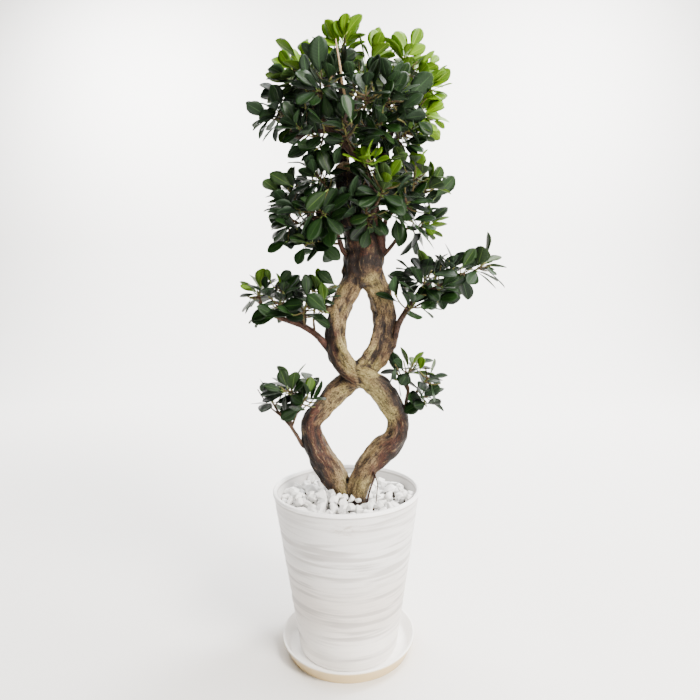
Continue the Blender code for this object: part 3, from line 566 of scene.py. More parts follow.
# Strands and knobs that stand out of the stems, each a fused rod
strands = (
    ((-14, -8, 560, 7), (-13, -15, 535, 7), (-9, -17, 512, 6.5), (2, -19, 490, 7),
     (14, -19, 470, 8), (28, -20, 458, 8)),  # the yellowish ridge inside the left strand
    ((56, -14, 553, 6), (52, -17, 530, 6.5), (46, -18, 508, 6.5), (36, -17, 490, 7),
     (24, -14, 474, 7)),  # the light one inside the right strand
    ((84, -12, 395, 10), (70, -17, 420, 12), (52, -19, 440, 13), (36, -21, 455, 13),
     (26, -20, 464, 9)),  # the olive shoulder that comes forward over the crossing
    ((4, -2, 441, 10), (20, -6, 446, 12), (38, -6, 441, 10)),  # rounds the lower loop's top
    ((24, -4, 480, 9), (30, -6, 474, 10), (40, -4, 478, 8)),  # and the upper loop's foot
    ((-52, -12, 345, 6), (-58, -13, 372, 7), (-50, -14, 398, 7), (-32, -13, 417, 6)),
    ((70, -17, 335, 7), (88, -13, 352, 8), (94, -9, 368, 7), (88, -11, 392, 6)),
    ((-26, -10, 298, 7), (-12, -20, 272, 7), (-6, -18, 250, 8), (-8, -18, 238, 9)),
    ((40, -22, 304, 7), (26, -27, 280, 8), (20, -28, 255, 8), (20, -28, 238, 9)),
    ((74, -6, 505, 11), (82, -5, 512, 6)),  # the bump low on the right strand
    ((-24, -6, 560, 9), (-32, -8, 567, 5)),  # the scar's collar on the left strand
    ((22, -16, 622, 6), (29, -22, 636, 8), (34, -22, 654, 8), (30, -20, 682, 6)),
    ((52, -10, 612, 6), (54, -15, 628, 7.5), (47, -20, 650, 6.5)),
    ((22, 16, 622, 6), (26, 22, 640, 9), (20, 20, 664, 7)),
    ((-48, 12, 340, 7), (-56, 14, 370, 7), (-40, 16, 400, 7)),
    ((78, 14, 350, 7), (86, 14, 372, 8), (72, 12, 404, 7)),
)
fineWood = (  # red, olive, dark and pale, then the path
    ((0.6, 0, 0.45, 0), (38, -20, 306, 2.2), (45, -32, 298, 1.7), (38, -40, 280, 1.5),
     (32, -43, 258, 1.4)),  # a dark root at the foot of the right stem
    ((0.3, 0.2, 0.3, 0.2), (45, -32, 300, 1.2), (49, -44, 290, 0.9), (48, -47, 276, 0.8),
     (46, -48, 256, 0.8)),  # and a fine shoot beside it
    ((0.1, 0.3, 0, 0.85), (18, -18, 838, 2.6), (12, -62, 846, 2.2), (5, -86, 866, 1.9),
     (1, -88, 894, 1.7), (-3, -78, 922, 1.4), (-5, -66, 942, 1.1)),  # pale, in the crown
    ((0.4, 0.2, 0.3, 0), (-104, 1, 388, 1.7), (-120, 0, 402, 1.4), (-132, -2, 418, 1.1),
     (-141, -4, 434, 0.9)),  # bare, low on the left
)
# Creases in the bark's front, as x, z points: the seam at the waist, a crack, and a scar
creases = (
    (((20, 482), (18, 470), (20, 458), (23, 446)), 1.7, 2.6),
    (((38, 564), (47, 557), (58, 547)), 1.4, 1.3),
    (((-12, 573), (-8, 561), (-1, 558), (5, 567), (2, 579), (-6, 582), (-12, 573)), 1.0, 1.3),
    (((12, 470), (4, 478), (-4, 492)), 1.3, 1.8), (((44, 474), (54, 490), (58, 512)), 1.5, 1.8),
    (((-46, 392), (-56, 376), (-58, 356)), 1.0, 1.5), (((70, 330), (60, 316), (50, 308)), 1.1, 1.4),
)
wood = {
    "voxel": 1.6, "stock": (4, -13, 29.7), "stockFoot": 204, "stemSides": 48, "stemLump": 0.15,
    "stemFlute": 0.3, "smoothSteps": 5, "furrows": 0.9, "rings": 0.22, "lumps": 1.1,
    "climb": (597, 645), "bandsTo": 720, "darkFootTo": 266,
    "reliefFrom": 236, "waist": 455, "loopTop": 620,
}


def smoothPath(guide, steps):  # Catmull-Rom through the guide rows, all columns alike
    guide = np.array(guide, float)
    ends = np.vstack([2 * guide[0] - guide[1], guide, 2 * guide[-1] - guide[-2]])
    a, b, c, d = ends[:-3], ends[1:-2], ends[2:-1], ends[3:]
    spans = [0.5 * (2 * b + (c - a) * t + (2 * a - 5 * b + 4 * c - d) * t**2
                    + (3 * b - a - 3 * c + d) * t**3) for t in np.arange(steps) / steps]
    return np.vstack([np.stack(spans, axis=1).reshape(-1, guide.shape[1]), guide[-1]])


def frames(path):  # tangent, side and other along a path, carried on without twist
    ahead = unit(np.gradient(path[:, :3], axis=0))
    lean = np.array([1.0, 0, 0]) if abs(ahead[0][2]) > 0.8 else up
    side = [unit(np.cross(ahead[0], lean))]
    for tangent in ahead[1:]:
        side.append(unit(side[-1] - tangent * side[-1].dot(tangent)))
    side = np.array(side)
    return ahead, side, np.cross(ahead, side)


def rod(path, sides, lump=0.0, seed=0, flute=0.0):
    # rings of path + r (side cos a + other sin a), closed by two poles; r is uneven by lump,
    # and by flute in ridges that run along and drift slowly round
    ahead, side, other = frames(path)
    ring = ringsRound(side, other, sides)
    radius = np.repeat(path[:, 3:4], sides, axis=1)
    if lump:
        skin = (path[:, None, :3] + ring * radius[:, :, None]).reshape(-1, 3)
        radius = radius * (1 + lump * noiseAt(skin, 15, seed).reshape(radius.shape))
    if flute:
        drift = np.repeat(lengthAlong(path)[:, None] / 48, sides, axis=1)
        turn = np.broadcast_to(np.arange(sides) * tau / sides, drift.shape)
        ridges = np.stack([2.1 * np.cos(turn), 2.1 * np.sin(turn), drift], axis=-1)
        ridges = noiseAt(ridges.reshape(-1, 3), 1, seed + 3).reshape(drift.shape)
        radius = radius * (1 + flute * ridges)
    points = (path[:, None, :3] + ring * radius[:, :, None]).reshape(-1, 3)
    cap = 0.4 * path[[0, -1], 3:4] * np.array([[-1], [1]]) * ahead[[0, -1]]
    points = np.vstack([points, path[[0, -1], :3] + cap])
    return points, ringQuads(len(path), sides), poleTriangles(len(path), sides)


def joined(shapes):  # several (points, quads, triangles) as one
    points, quads, triangles, start = [], [], [], 0
    for p, q, t in shapes:
        points.append(p)
        quads.append(np.asarray(q) + start)
        triangles.append(np.asarray(t) + start)
        start += len(p)
    return np.vstack(points), np.vstack(quads), np.vstack(triangles)


def fused(shapes, voxel):  # one skin round overlapping shapes
    mesh = makeMesh("raw", *joined(shapes))
    raw = bpy.data.objects.new("raw", mesh)
    bpy.context.scene.collection.objects.link(raw)
    remesh = raw.modifiers.new("skin", "REMESH")
    remesh.mode = "VOXEL"
    remesh.voxel_size = voxel / 1000
    done = raw.evaluated_get(bpy.context.evaluated_depsgraph_get()).to_mesh()
    points = np.empty(len(done.vertices) * 3, np.float32)
    done.vertices.foreach_get("co", points)
    quads = np.empty(len(done.polygons) * 4, np.int32)
    done.polygons.foreach_get("vertices", quads)
    bpy.data.objects.remove(raw)
    return points.reshape(-1, 3).astype(float) * 1000, quads.reshape(-1, 4)


def edgesOf(quads):  # each once, as pairs of points
    pairs = np.vstack([quads[:, [k, (k + 1) % 4]] for k in range(4)])
    return np.unique(np.sort(pairs, axis=1), axis=0)


def neighbourMean(values, edges, counts):  # of the points that share an edge with each
    total = np.zeros_like(values)
    for k in range(values.shape[1]):
        total[:, k] = (np.bincount(edges[:, 0], values[edges[:, 1], k], len(values))
                       + np.bincount(edges[:, 1], values[edges[:, 0], k], len(values)))
    return total / counts[:, None]


def vertexNormals(points, quads):
    across = points[quads[:, 2]] - points[quads[:, 0]]
    normal = np.cross(across, points[quads[:, 3]] - points[quads[:, 1]])
    total = np.zeros_like(points)
    for k in range(4):
        for axis in range(3):
            total[:, axis] += np.bincount(quads[:, k], normal[:, axis], len(points))
    return unit(total)


# Where the bark changes colour: x, z, reach in mm, then red, olive, dark and pale
barkTones = (
    (-64, 372, 22, 0.7, 0, 0.1, 0), (-44, 330, 20, 0.45, 0, 0.25, 0),
    (-40, 345, 14, 0, 0.3, 0, 0), (-56, 402, 16, 0.75, 0, 0, 0), (-30, 300, 16, 0.35, 0, 0.3, 0),
    (-14, 268, 16, 0.1, 0.35, 0, 0), (-30, 412, 18, 0, 0.3, 0, 0), (-8, 432, 18, 0, 0.45, 0, 0),
    (14, 448, 14, 0.45, 0, 0.15, 0), (-62, 340, 14, 0.6, 0, 0.2, 0),
    (28, 280, 22, 0.05, 0.6, 0, 0), (48, 302, 16, 0.2, 0.3, 0, 0), (66, 322, 18, 0.8, 0, 0.1, 0),
    (84, 344, 20, 0.8, 0, 0.25, 0), (92, 372, 16, 0.6, 0, 0.2, 0), (76, 400, 22, 0, 0.75, 0, 0),
    (58, 424, 22, 0, 0.85, 0, 0), (40, 446, 20, 0, 0.9, 0, 0), (38, 468, 16, 0, 0.8, 0, 0),
    (8, 474, 12, 0, 0.9, 0, 0), (-6, 500, 14, 0, 0.7, 0, 0), (-22, 500, 16, 0.55, 0, 0.2, 0),
    (-26, 524, 12, 0.7, 0, 0.3, 0), (-20, 560, 22, 0, 0.45, 0, 0), (-6, 588, 18, 0.1, 0.35, 0, 0),
    (-16, 478, 14, 0.2, 0, 0.3, 0), (62, 504, 20, 0.1, 0, 0.4, 0),
    (70, 536, 22, 0.05, 0.1, 0.35, 0),
    (46, 500, 10, 0, 0.85, 0, 0), (62, 575, 18, 0, 0.35, 0.2, 0), (48, 600, 16, 0, 0.6, 0, 0),
    (50, 620, 12, 0, 0.7, 0, 0), (20, 612, 16, 0.1, 0.1, 0.5, 0), (36, 640, 12, 0.1, 0.3, 0.2, 0),
    (8, 786, 20, 0, 0, 0, 1), (-50, 356, 22, 0.5, -0.2, 0.12, 0), (-36, 322, 20, 0.4, 0, 0.1, 0),
    (14, 655, 9, 0.3, 0, -0.5, 0), (27, 656, 9, 0.25, 0.2, -0.75, 0),
    (42, 657, 9, 0.3, 0.1, -0.75, 0), (-4, 603, 12, 0, 0.3, -0.3, 0),
)


def pressCreases(points, normal):  # how far each point is pushed in, in mm
    depth = np.zeros(len(points))
    for line, deep, wide in creases:
        for a, b in zip(np.array(line[:-1], float), np.array(line[1:], float)):
            run = b - a
            share = ((points[:, [0, 2]] - a) @ run / run.dot(run)).clip(0, 1)
            off = points[:, [0, 2]] - a - share[:, None] * run
            near = np.exp(-(off**2).sum(axis=1) / wide**2) * (normal[:, 1] < 0.05)
            depth = np.maximum(depth, deep * near)
    return depth


def paintBark(points, normal, hollow, outward, pressed):
    # tone = sum of amounts * exp(-(distance / reach)^2), broken up by noise; the outer sides
    # of the loops are redder, and darker by painted shade, the inner sides more olive
    tone = np.zeros((len(points), 4))
    loose = points[:, [0, 2]] + 9 * np.stack([noiseAt(points, 14, 4), noiseAt(points, 14, 5)],
                                             axis=1)
    for x, z, reach, *amounts in barkTones:
        near = np.exp(-((loose - (x, z)) ** 2).sum(axis=1) / reach**2)
        tone += near[:, None] * amounts
    outward = outward + 0.35 * noiseAt(points, 20, 7)
    tone[:, 0] += 0.6 * np.clip((outward + 0.25) / 0.8, 0, 1)
    # painted shade on the loops' outer sides
    tone[:, 2] += 0.75 * np.clip((outward - 0.1) / 0.6, 0, 1)
    tone[:, 1] += 0.3 * np.clip(-outward / 0.8, 0, 1)
    low, high = wood["climb"]
    climb = np.clip((loose[:, 1] - low) / (high - low), 0, 1)  # dark above the loops: darker bark, and painted shade under the crown
    tone[:, 2] += 1.05 * climb * (1 - tone[:, 3].clip(0, 1))
    tone[:, 1] *= 1 - climb
    bands = 0.5 + 0.5 * np.sin(points[:, 2] / 4.6 + 4 * noiseAt(points, 34, 6))
    bands *= climb * (points[:, 2] < wood["bandsTo"])
    tone[:, 0] += 0.75 * bands
    tone[:, 2] -= 0.45 * bands
    # painted shade in the hollows and the creases
    tone[:, 2] += 0.6 * np.clip(hollow, 0, 1) + 0.3 * pressed
    tone[:, 2] += 0.3 * np.clip((normal[:, 1] + 0.45) / 0.7, 0, 1)  # painted shade: darker where the skin turns from the front (-Y) to the sides and back
    # darker towards the foot, where the stems go in among the pebbles
    tone[:, 2] += 0.7 * np.clip((wood["darkFootTo"] - points[:, 2]) / 12, 0, 1)
    return np.clip(tone, 0, 1)


def fuseStems():  # the stems, their strands and the limbs' feet as one smooth skin
    x, y, r = wood["stock"]
    foot = wood["stockFoot"]
    stock = smoothPath(((x, y, foot + 4, r - 1), (x, y, foot + 32, r - 1),
                        (x, y, foot + 44, 0.8 * r)), 4)
    shapes = [rod(smoothPath(guide, 5), wood["stemSides"], wood["stemLump"], k,
                  wood["stemFlute"]) for k, guide in enumerate(stems)]
    shapes += [rod(smoothPath(strand, 5), 20, 0.16, 9 + k) for k, strand in enumerate(strands)]
    shapes.append(rod(stock, 32))
    shapes += [rod(smoothPath(guide, 6)[:9], 14) for guide in limbs.values()]
    points, quads = fused(shapes, wood["voxel"])
    edges = edgesOf(quads)
    counts = np.bincount(edges.ravel(), minlength=len(points)).astype(float)
    for step in range(wood["smoothSteps"]):
        points += 0.55 * (neighbourMean(points, edges, counts) - points)
    normal = vertexNormals(points, quads)
    # how far the points round it stand above each point: 1 in a hollow, -1 on a ridge
    hollow = ((neighbourMean(points, edges, counts) - points) * normal).sum(axis=1)
    for step in range(6):
        hollow = neighbourMean(hollow[:, None], edges, counts)[:, 0]
    return points, quads, normal, np.clip(hollow / 0.05, -1, 1)


def stemGrain(points):
    # place round and along the nearest stem, so that the bark's grain follows the wood, with
    # the stem's own row and how far each point is from it
    centres, sides, others, reach = [], [], [], []
    for guide in stems:
        centres.append(smoothPath(guide, 14))
        _, side, other = frames(centres[-1])
        sides.append(side)
        others.append(other)
        reach.append(lengthAlong(centres[-1]))
    centres, sides, others = map(np.vstack, (centres, sides, others))
    reach = np.concatenate(reach)
    tree = kdtree.KDTree(len(centres))
    for k, row in enumerate(centres.tolist()):
        tree.insert(row[:3], k)
    tree.balance()
    nearest = []
    for point in points.tolist():
        found = tree.find_n(point, 6)
        nearest.append(min(found, key=lambda hit: hit[2] - centres[hit[1], 3])[1])
    nearest = np.array(nearest)
    off = points - centres[nearest, :3]
    turn = np.arctan2((off * others[nearest]).sum(axis=1), (off * sides[nearest]).sum(axis=1))
    girth = centres[nearest, 3]
    grain = np.stack([girth * np.cos(turn), girth * np.sin(turn), reach[nearest]], axis=1)
    return grain, centres[nearest], off


def buildTrunk():
    # the skin moves along its normal by three noises, and is pressed in at the creases
    points, quads, normal, hollow = fuseStems()
    grain, stem, off = stemGrain(points)
    relief = wood["furrows"] * noiseAt(grain * (1, 1, 0.22), 6, 1)
    relief += wood["rings"] * noiseAt(grain * (0.25, 0.25, 1.6), 5, 2)
    relief += wood["lumps"] * noiseAt(points, 10, 3)
    fade = np.clip((points[:, 2] - wood["reliefFrom"]) / 8, 0, 1)
    pressed = pressCreases(points, normal)
    points += normal * (relief * fade - pressed)[:, None]
    # 1 on a loop's outer side, -1 on its inner, less high up and on the upper loop's right
    middle = np.where(points[:, 2] < wood["waist"], 18, 26)
    aside = stem[:, 0] - middle
    outward = off[:, 0] / stem[:, 3] * np.sign(aside) * np.clip((np.abs(aside) - 8) / 20, 0, 1)
    outward *= np.where((aside > 0) & (points[:, 2] > wood["waist"]), 0.2, 1)
    outward *= points[:, 2] < wood["loopTop"]
    outward *= np.clip((585 - points[:, 2]) / 60, 0.15, 1)
    mesh = makeMesh("twinedTrunk", points, quads)
    addPaint(mesh, "barkTone", paintBark(points, normal, hollow, outward, pressed),
             "FLOAT_COLOR")
    addPaint(mesh, "barkGrain", grain / 1000, "FLOAT_VECTOR")
    addPiece("twinedTrunk", mesh, bark, "bark", "trunk")


# Bark colours, darker and lighter, mixed by a grain of about 2 mm
barkColours = {
    "stems": {"base": ("#3F3121", "#8B7450"), "patch": ("#20160F", "#4C3827"),
              "olive": ("#5A5030", "#A3945F"), "red": ("#24140E", "#563325"),
              "dark": ("#0B0706", "#2C1F19")},
    "limbs": {"base": ("#2E1E17", "#62493A"), "patch": ("#23150F", "#483026"),
              "olive": ("#454522", "#73713A"), "red": ("#24110A", "#50291C"),
              "dark": ("#0E0807", "#281914")},
    "callus": ("#6E563F", "#B59B74"),
}


def barkMaterial(name, colours, scale):
    base, dark = colours["base"], colours["dark"]
    material, tree, shader = newMaterial(name)
    shader.inputs["Specular IOR Level"].default_value = 0.3
    place = addNode(tree, "TexCoord", out="Object")
    tone = addNode(tree, "Attribute", out="Color", attribute_name="barkTone")
    cut = addNode(tree, "Attribute", out="Alpha", attribute_name="barkTone")
    amounts = [addNode(tree, "SeparateColor", {0: tone}, k) for k in range(3)]
    grain = addNode(tree, "Attribute", out="Vector", attribute_name="barkGrain")
    mottle = addNode(tree, "TexNoise", {0: place, "Scale": perMm / (15 * scale), "Detail": 6,
                                        "Roughness": 0.68})
    strip = addNode(tree, "Mapping", {0: grain, "Scale": (1, 1, 0.45)})
    blotch = addNode(tree, "TexNoise", {0: strip, "Scale": perMm / (8 * scale), "Detail": 4})
    fine = addNode(tree, "TexNoise", {0: place, "Scale": perMm / (2.4 * scale), "Detail": 5,
                                      "Roughness": 0.72})
    long = addNode(tree, "Mapping", {0: grain, "Scale": (1, 1, 0.24)})
    fibres = addNode(tree, "TexNoise", {0: long, "Scale": perMm / (2.8 * scale), "Detail": 5,
                                        "Roughness": 0.62})
    cracks = addNode(tree, "TexNoise", {0: long, "Scale": perMm / (8 * scale), "Detail": 4})
    light = addNode(tree, "MapRange", {0: fine, 1: 0.34, 2: 0.66}, **softStep)
    pairs = [addNode(tree, "Mix", {0: light, 6: linear(low), 7: linear(high)}, **colourMix)
             for low, high in colours.values()]
    colour = layer(tree, pairs[0], blotch, (0.46, 0.62), 0.9, pairs[1])
    uneven = addNode(tree, "Math", {0: mottle, 1: 1.3, 2: -0.65}, operation="MULTIPLY_ADD")
    for amount, tinted in zip((amounts[1], amounts[0], amounts[2]), pairs[2:]):
        # olive, red and dark give way in noisy edges
        spread = addNode(tree, "Math", {0: amount, 1: uneven}, operation="ADD")
        colour = layer(tree, colour, spread, (0.1, 0.85), 1, tinted)
    for source, edges, most, tint in ((mottle, (0.45, 0.33), 0.6, dark[1]),
                                      (fibres, (0.53, 0.64), 0.8, dark[0]),
                                      (fibres, (0.43, 0.32), 0.5, base[1])):
        colour = layer(tree, colour, source, edges, most, linear(tint))
    # fine cracks along the wood, where a noise passes its middle value
    line = addNode(tree, "Math", {0: cracks, 1: 0.5}, operation="SUBTRACT")
    line = addNode(tree, "Math", {0: line}, operation="ABSOLUTE")
    line = addNode(tree, "MapRange", {0: line, 1: 0.02, 2: 0.004, 3: 0, 4: 0.7}, **softStep)
    here = addNode(tree, "MapRange", {0: blotch, 1: 0.42, 2: 0.6}, **softStep)
    line = addNode(tree, "Math", {0: line, 1: here}, operation="MULTIPLY")
    colour = addNode(tree, "Mix", {0: line, 6: colour, 7: linear(dark[0])}, **colourMix)
    # the cut top healed over, pale and dry
    low, high = barkColours["callus"]
    callus = addNode(tree, "Mix", {0: light, 6: linear(low), 7: linear(high)}, **colourMix)
    spread = addNode(tree, "Math", {0: mottle, 1: 0.6, 2: cut}, operation="MULTIPLY_ADD")
    colour = layer(tree, colour, spread, (0.6, 1.0), 1, callus)
    height = addNode(tree, "Math", {0: blotch, 1: 1.1, 2: fine}, operation="MULTIPLY_ADD")
    height = addNode(tree, "Math", {0: fibres, 1: -1.1, 2: height}, operation="MULTIPLY_ADD")
    height = addNode(tree, "Math", {0: height, 1: line}, operation="SUBTRACT")
    rough = addNode(tree, "MapRange", {0: fine, 1: 0.3, 2: 0.7, 3: 0.6, 4: 0.82})
    finishMaterial(tree, shader, colour, height, 0.8, 1.6 * scale, rough)
    return material


# dry, matt fig bark: tan with brown patches, olive where it is young, red-brown where it rubs
bark = barkMaterial("mottledFicusBark", barkColours["stems"], 1.0)
limbBark = barkMaterial("reddishLimbBark", barkColours["limbs"], 0.6)


def twigRod(path, sides, seed):  # a limb or twig: joints where leaves stood, and grain
    reach = lengthAlong(path)
    path = path.copy()
    path[:, 3] *= 1 + 0.10 * np.exp(-((reach / 11 + seed * 0.37) % 1 - 0.5) ** 2 / 0.02)
    points, quads, triangles = rod(path, sides, 0.12, seed)
    ring = np.tile(np.arange(sides) * tau / sides, len(path))
    radius = np.repeat(path[:, 3], sides)
    grain = np.stack([radius * np.cos(ring), radius * np.sin(ring), np.repeat(reach, sides)],
                     axis=1)
    grain = np.vstack([grain, (0, 0, 0), (0, 0, reach[-1])])
    return points, quads, triangles, grain


def barkRods(name, paths, sides, steps, toneOf):
    # all rods in one mesh; toneOf gives red, olive, dark and pale for a share along each
    rods, grains, tones = [], [], []
    for k, path in enumerate(paths):
        fine = smoothPath(path, steps)
        thick = sides + 4 * int(path[0][3] > 4.5)
        points, quads, triangles, grain = twigRod(fine, thick, k + 1)
        rods.append((points, quads, triangles))
        grains.append(grain + (0, 0, 40.0 * k))
        share = np.repeat(np.linspace(0, 1, len(fine)), thick)
        tones.append(np.vstack([toneOf(k, share), toneOf(k, np.array([0.0, 1.0]))]))
    mesh = makeMesh(name, *joined(rods))
    addPaint(mesh, "barkTone", np.vstack(tones).clip(0, 1), "FLOAT_COLOR")
    addPaint(mesh, "barkGrain", np.vstack(grains) / 1000, "FLOAT_VECTOR")
    return mesh


def limbTone(k, share):
    if k >= len(limbs):
        return np.tile(fineWood[k - len(limbs)][0], (len(share), 1))
    name = list(limbs)[k]
    red = 0.75 if name in ("front", "left_arm", "right", "mid_left") else 0.4
    dark = 0.5 if limbs[name][0][2] > 640 else 0.25
    return np.stack([red - 0.5 * share, 0.25 * share, dark + 0 * share, 0.15 * share], axis=1)


buildTrunk()
limbMesh = barkRods("limbs", [*limbs.values(), *[row[1:] for row in fineWood]], 10, 6, limbTone)
addPiece("limbs", limbMesh, limbBark, "bark")
print("wood made")

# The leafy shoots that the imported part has: the limb, how far along it, the tip in mm, the
# leaves, the length of a full leaf in mm
shoots = {
    "crown_top_a": ("centre", 0.94, (5, 2, 966), 6, 42),
    "crown_top_b": ("centre", 0.62, (51, -22, 941), 5, 39),
    "crown_top_c": ("right", 0.94, (98, -12, 936), 5, 40),
    "crown_right_a": ("crown_right", 0.9, (129, 0, 909), 5, 38),
    "crown_right_b": ("crown_right", 0.5, (130, 24, 876), 5, 37),
    "crown_front_right": ("crown_front", 0.8, (82, -70, 864), 5, 38),
    "crown_front": ("crown_front", 0.94, (36, -90, 868), 6, 39),
    "crown_front_left": ("front", 0.94, (-12, -82, 884), 6, 38),
    "crown_left_top": ("crown_left", 0.5, (-50, -32, 924), 5, 38),
    "crown_left_a": ("crown_left", 0.92, (-85, 4, 911), 6, 38),
    "crown_left_b": ("outer_left", 0.8, (-88, -18, 868), 5, 37),
    "crown_left_low": ("front", 0.72, (-62, -50, 826), 5, 37),
    "crown_low_front": ("front", 0.6, (2, -78, 830), 5, 38),
    "crown_low_right": ("crown_front", 0.5, (58, -70, 824), 5, 38),
    "crown_low_far_right": ("right", 0.6, (108, -24, 832), 5, 38),
    "crown_back_a": ("back_left", 0.94, (-32, 72, 950), 4, 38),
    "crown_back_b": ("back", 0.94, (34, 80, 952), 5, 38),
    "crown_back_c": ("back_right", 0.94, (92, 68, 928), 5, 38),
    "crown_back_d": ("back_left", 0.6, (-66, 70, 898), 4, 38),
    "crown_back_e": ("back", 0.6, (6, 106, 903), 5, 38),
    "crown_back_f": ("back_right", 0.6, (94, 84, 868), 4, 38),
    "mid_left_top": ("mid_left", 0.93, (-39, -22, 770), 5, 37),
    "mid_left_far": ("mid_far_left", 0.93, (-82, 0, 750), 5, 38),
    "mid_left_front": ("mid_left", 0.6, (-36, -64, 709), 5, 38),
    "mid_left_low": ("mid_far_left", 0.7, (-82, -20, 692), 5, 37),
    "mid_left_under": ("mid_left", 0.3, (-53, -32, 662), 4, 37),
    "mid_back_left": ("mid_back_left", 0.9, (-50, 80, 756), 4, 38),
    "mid_top": ("front", 0.47, (36, -64, 776), 4, 36),
    "mid_front": ("mid_front", 0.93, (62, -86, 736), 6, 40),
    "mid_right_top": ("mid_right", 0.93, (111, -22, 775), 5, 37),
    "mid_right_far": ("mid_right", 0.82, (142, 4, 757), 5, 37),
    "mid_front_low": ("mid_front", 0.5, (34, -80, 702), 4, 36),
    "mid_right_front": ("mid_right", 0.62, (102, -50, 721), 5, 37),
    "mid_right_low": ("low_right", 0.92, (126, -14, 686), 5, 37),
    "mid_back": ("mid_back", 0.92, (30, 94, 768), 5, 38),
    "mid_back_right": ("mid_back_right", 0.9, (106, 78, 764), 4, 38),
    "right_mid": ("right_arm", 0.58, (128, -20, 623), 5, 37),
    "right_top": ("right_arm", 0.8, (176, -10, 630), 5, 37),
    "right_far": ("right_arm", 0.96, (221, -20, 630), 6, 43),
    "right_low": ("right_arm", 0.66, (150, -40, 592), 4, 36),
    "right_near": ("right_arm", 0.36, (110, -34, 570), 5, 37),
    "right_back": ("right_arm_back", 0.9, (162, 46, 619), 4, 37),
    "left_far": ("left_arm", 0.95, (-134, 0, 596), 5, 37),
    "left_mid": ("left_arm", 0.72, (-92, -34, 589), 5, 37),
    "left_front": ("left_arm", 0.46, (-54, -50, 578), 5, 38),
    "left_near": ("left_arm", 0.34, (-36, -24, 596), 5, 38),
    "left_back": ("left_arm_back", 0.9, (-80, 44, 585), 4, 37),
    "low_left_a": ("low_left_twig", 0.93, (-88, -12, 446), 4, 37),
    "low_left_b": ("low_left_twig", 0.75, (-58, -40, 428), 4, 36),
    "low_left_c": ("low_left_fork", 0.9, (-122, 8, 420), 4, 36),
    "low_left_d": ("low_left_twig", 0.55, (-62, 26, 420), 3, 36),
    "low_right_a": ("low_right_twig", 0.93, (108, 0, 468), 4, 36),
    "low_right_b": ("low_right_fork", 0.92, (134, -22, 452), 4, 37),
    "low_right_c": ("low_right_fork", 0.5, (134, 2, 416), 4, 36),
    "low_right_d": ("low_right_twig", 0.72, (82, 24, 460), 4, 36),
}
shoot = {
    "seed": 24, "knees": (0, 0.46, 1), "stubShare": 0.75, "stubRadius": 2.0,
    "twigRadii": (2.0, 1.5), "gap": 0.3, "clearWood": 0.9, "twigTries": 60,
}
leaf = {
    "clearBlade": 2.2, "clearKin": 1.3, "neck": 0.14, "width": 0.60,
    "zone": (0.96, 0.28), "spread": (30, 76), "first": 0.84, "tries": 40,
    "outline": ((0, 0, 0), (0.38, 0.92, 0.045), (0.78, 0.84, 0.02), (1, 0, -0.06),
                (0.78, -0.84, 0.02), (0.38, -0.92, 0.045), (0.60, 0, -0.02)),
}


def along(path, share):  # the point and the direction at a share of a path's length
    steps = np.linalg.norm(np.diff(path[:, :3], axis=0), axis=1)
    reach = np.concatenate([[0], np.cumsum(steps)])
    at = share * reach[-1]
    i = min(int(np.searchsorted(reach, at, side="right")) - 1, len(steps) - 1)
    part = (at - reach[i]) / steps[i]
    point = path[i, :3] + (path[i + 1, :3] - path[i, :3]) * part
    return point, (path[i + 1, :3] - path[i, :3]) / steps[i]


def tubeFaces(path, spare, sides=8):  # a plain tube, for tests of what is clear
    points = path[:, :3]
    steps = unit(np.diff(points, axis=0))
    ahead = unit(np.vstack([steps[:1], steps[:-1] + steps[1:], steps[-1:]]))
    side = np.zeros_like(ahead)
    last = np.cross(ahead[0], (0.3, 1.0, 0.2))
    for i, way in enumerate(ahead):  # carried along, so that the tube has no twist
        last = unit(last - way * way.dot(last))
        side[i] = last
    other = np.cross(ahead, side)
    ring = ringsRound(side, other, sides)
    vertices = points[:, None] + ring * (path[:, 3] + spare)[:, None, None]
    return vertices.reshape(-1, 3), ringQuads(len(path), sides)


def treeOf(vertices, faces):
    return BVHTree.FromPolygons(vertices.tolist(), [tuple(face) for face in faces.tolist()])


class Solid:  # what a leaf or twig must stay clear of: a tree, and a ball round it
    def __init__(self, vertices, faces):
        self.tree = treeOf(vertices, faces)
        self.centre = (vertices.min(axis=0) + vertices.max(axis=0)) / 2
        self.reach = np.linalg.norm(vertices - self.centre, axis=1).max()

    def meets(self, other):
        return bool(self.tree.overlap(other.tree))


class Crowd:  # solids by name, of which only those near enough are tested
    def __init__(self):
        self.solids, self.names, self.outers = [], [], []
        self.balls = np.zeros((6000, 4))

    def add(self, name, solid, outer=None):
        self.balls[len(self.solids)] = (*solid.centre, solid.reach)
        self.solids.append(solid)
        self.names.append(name)
        self.outers.append(outer)

    def near(self, solid):
        balls = self.balls[:len(self.solids)]
        away = np.linalg.norm(balls[:, :3] - solid.centre, axis=1)
        return np.nonzero(away < balls[:, 3] + solid.reach)[0]

    def meets(self, solid, but=None):
        return any(self.names[i] != but and self.solids[i].meets(solid)
                   for i in self.near(solid))


def shootPath(limb, tip, bend):  # a cubic curve that leaves along the limb and ends upright
    start, ahead = limb
    chord = tip - start
    length = np.linalg.norm(chord)
    first = start + (0.22 * ahead + 0.14 * chord / length) * length + bend * length
    last = tip - (0.2 * up + 0.16 * chord / length) * length + bend * length
    t = np.array(shoot["knees"], float)[:, None]
    return ((1 - t) ** 3 * start + 3 * (1 - t) ** 2 * t * first
            + 3 * (1 - t) * t**2 * last + t**3 * tip)


def splitPath(path):  # the stub that stays with the limb, and the twig beyond the gap
    joint = path[0] + (path[1] - path[0]) * shoot["stubShare"]
    stub = np.vstack([path[0], joint])
    twig = np.vstack([joint + unit(path[1] - path[0]) * shoot["gap"], path[1:]])
    return (np.column_stack([stub, np.full(len(stub), shoot["stubRadius"])]),
            np.column_stack([twig, np.linspace(*shoot["twigRadii"], len(twig))]))


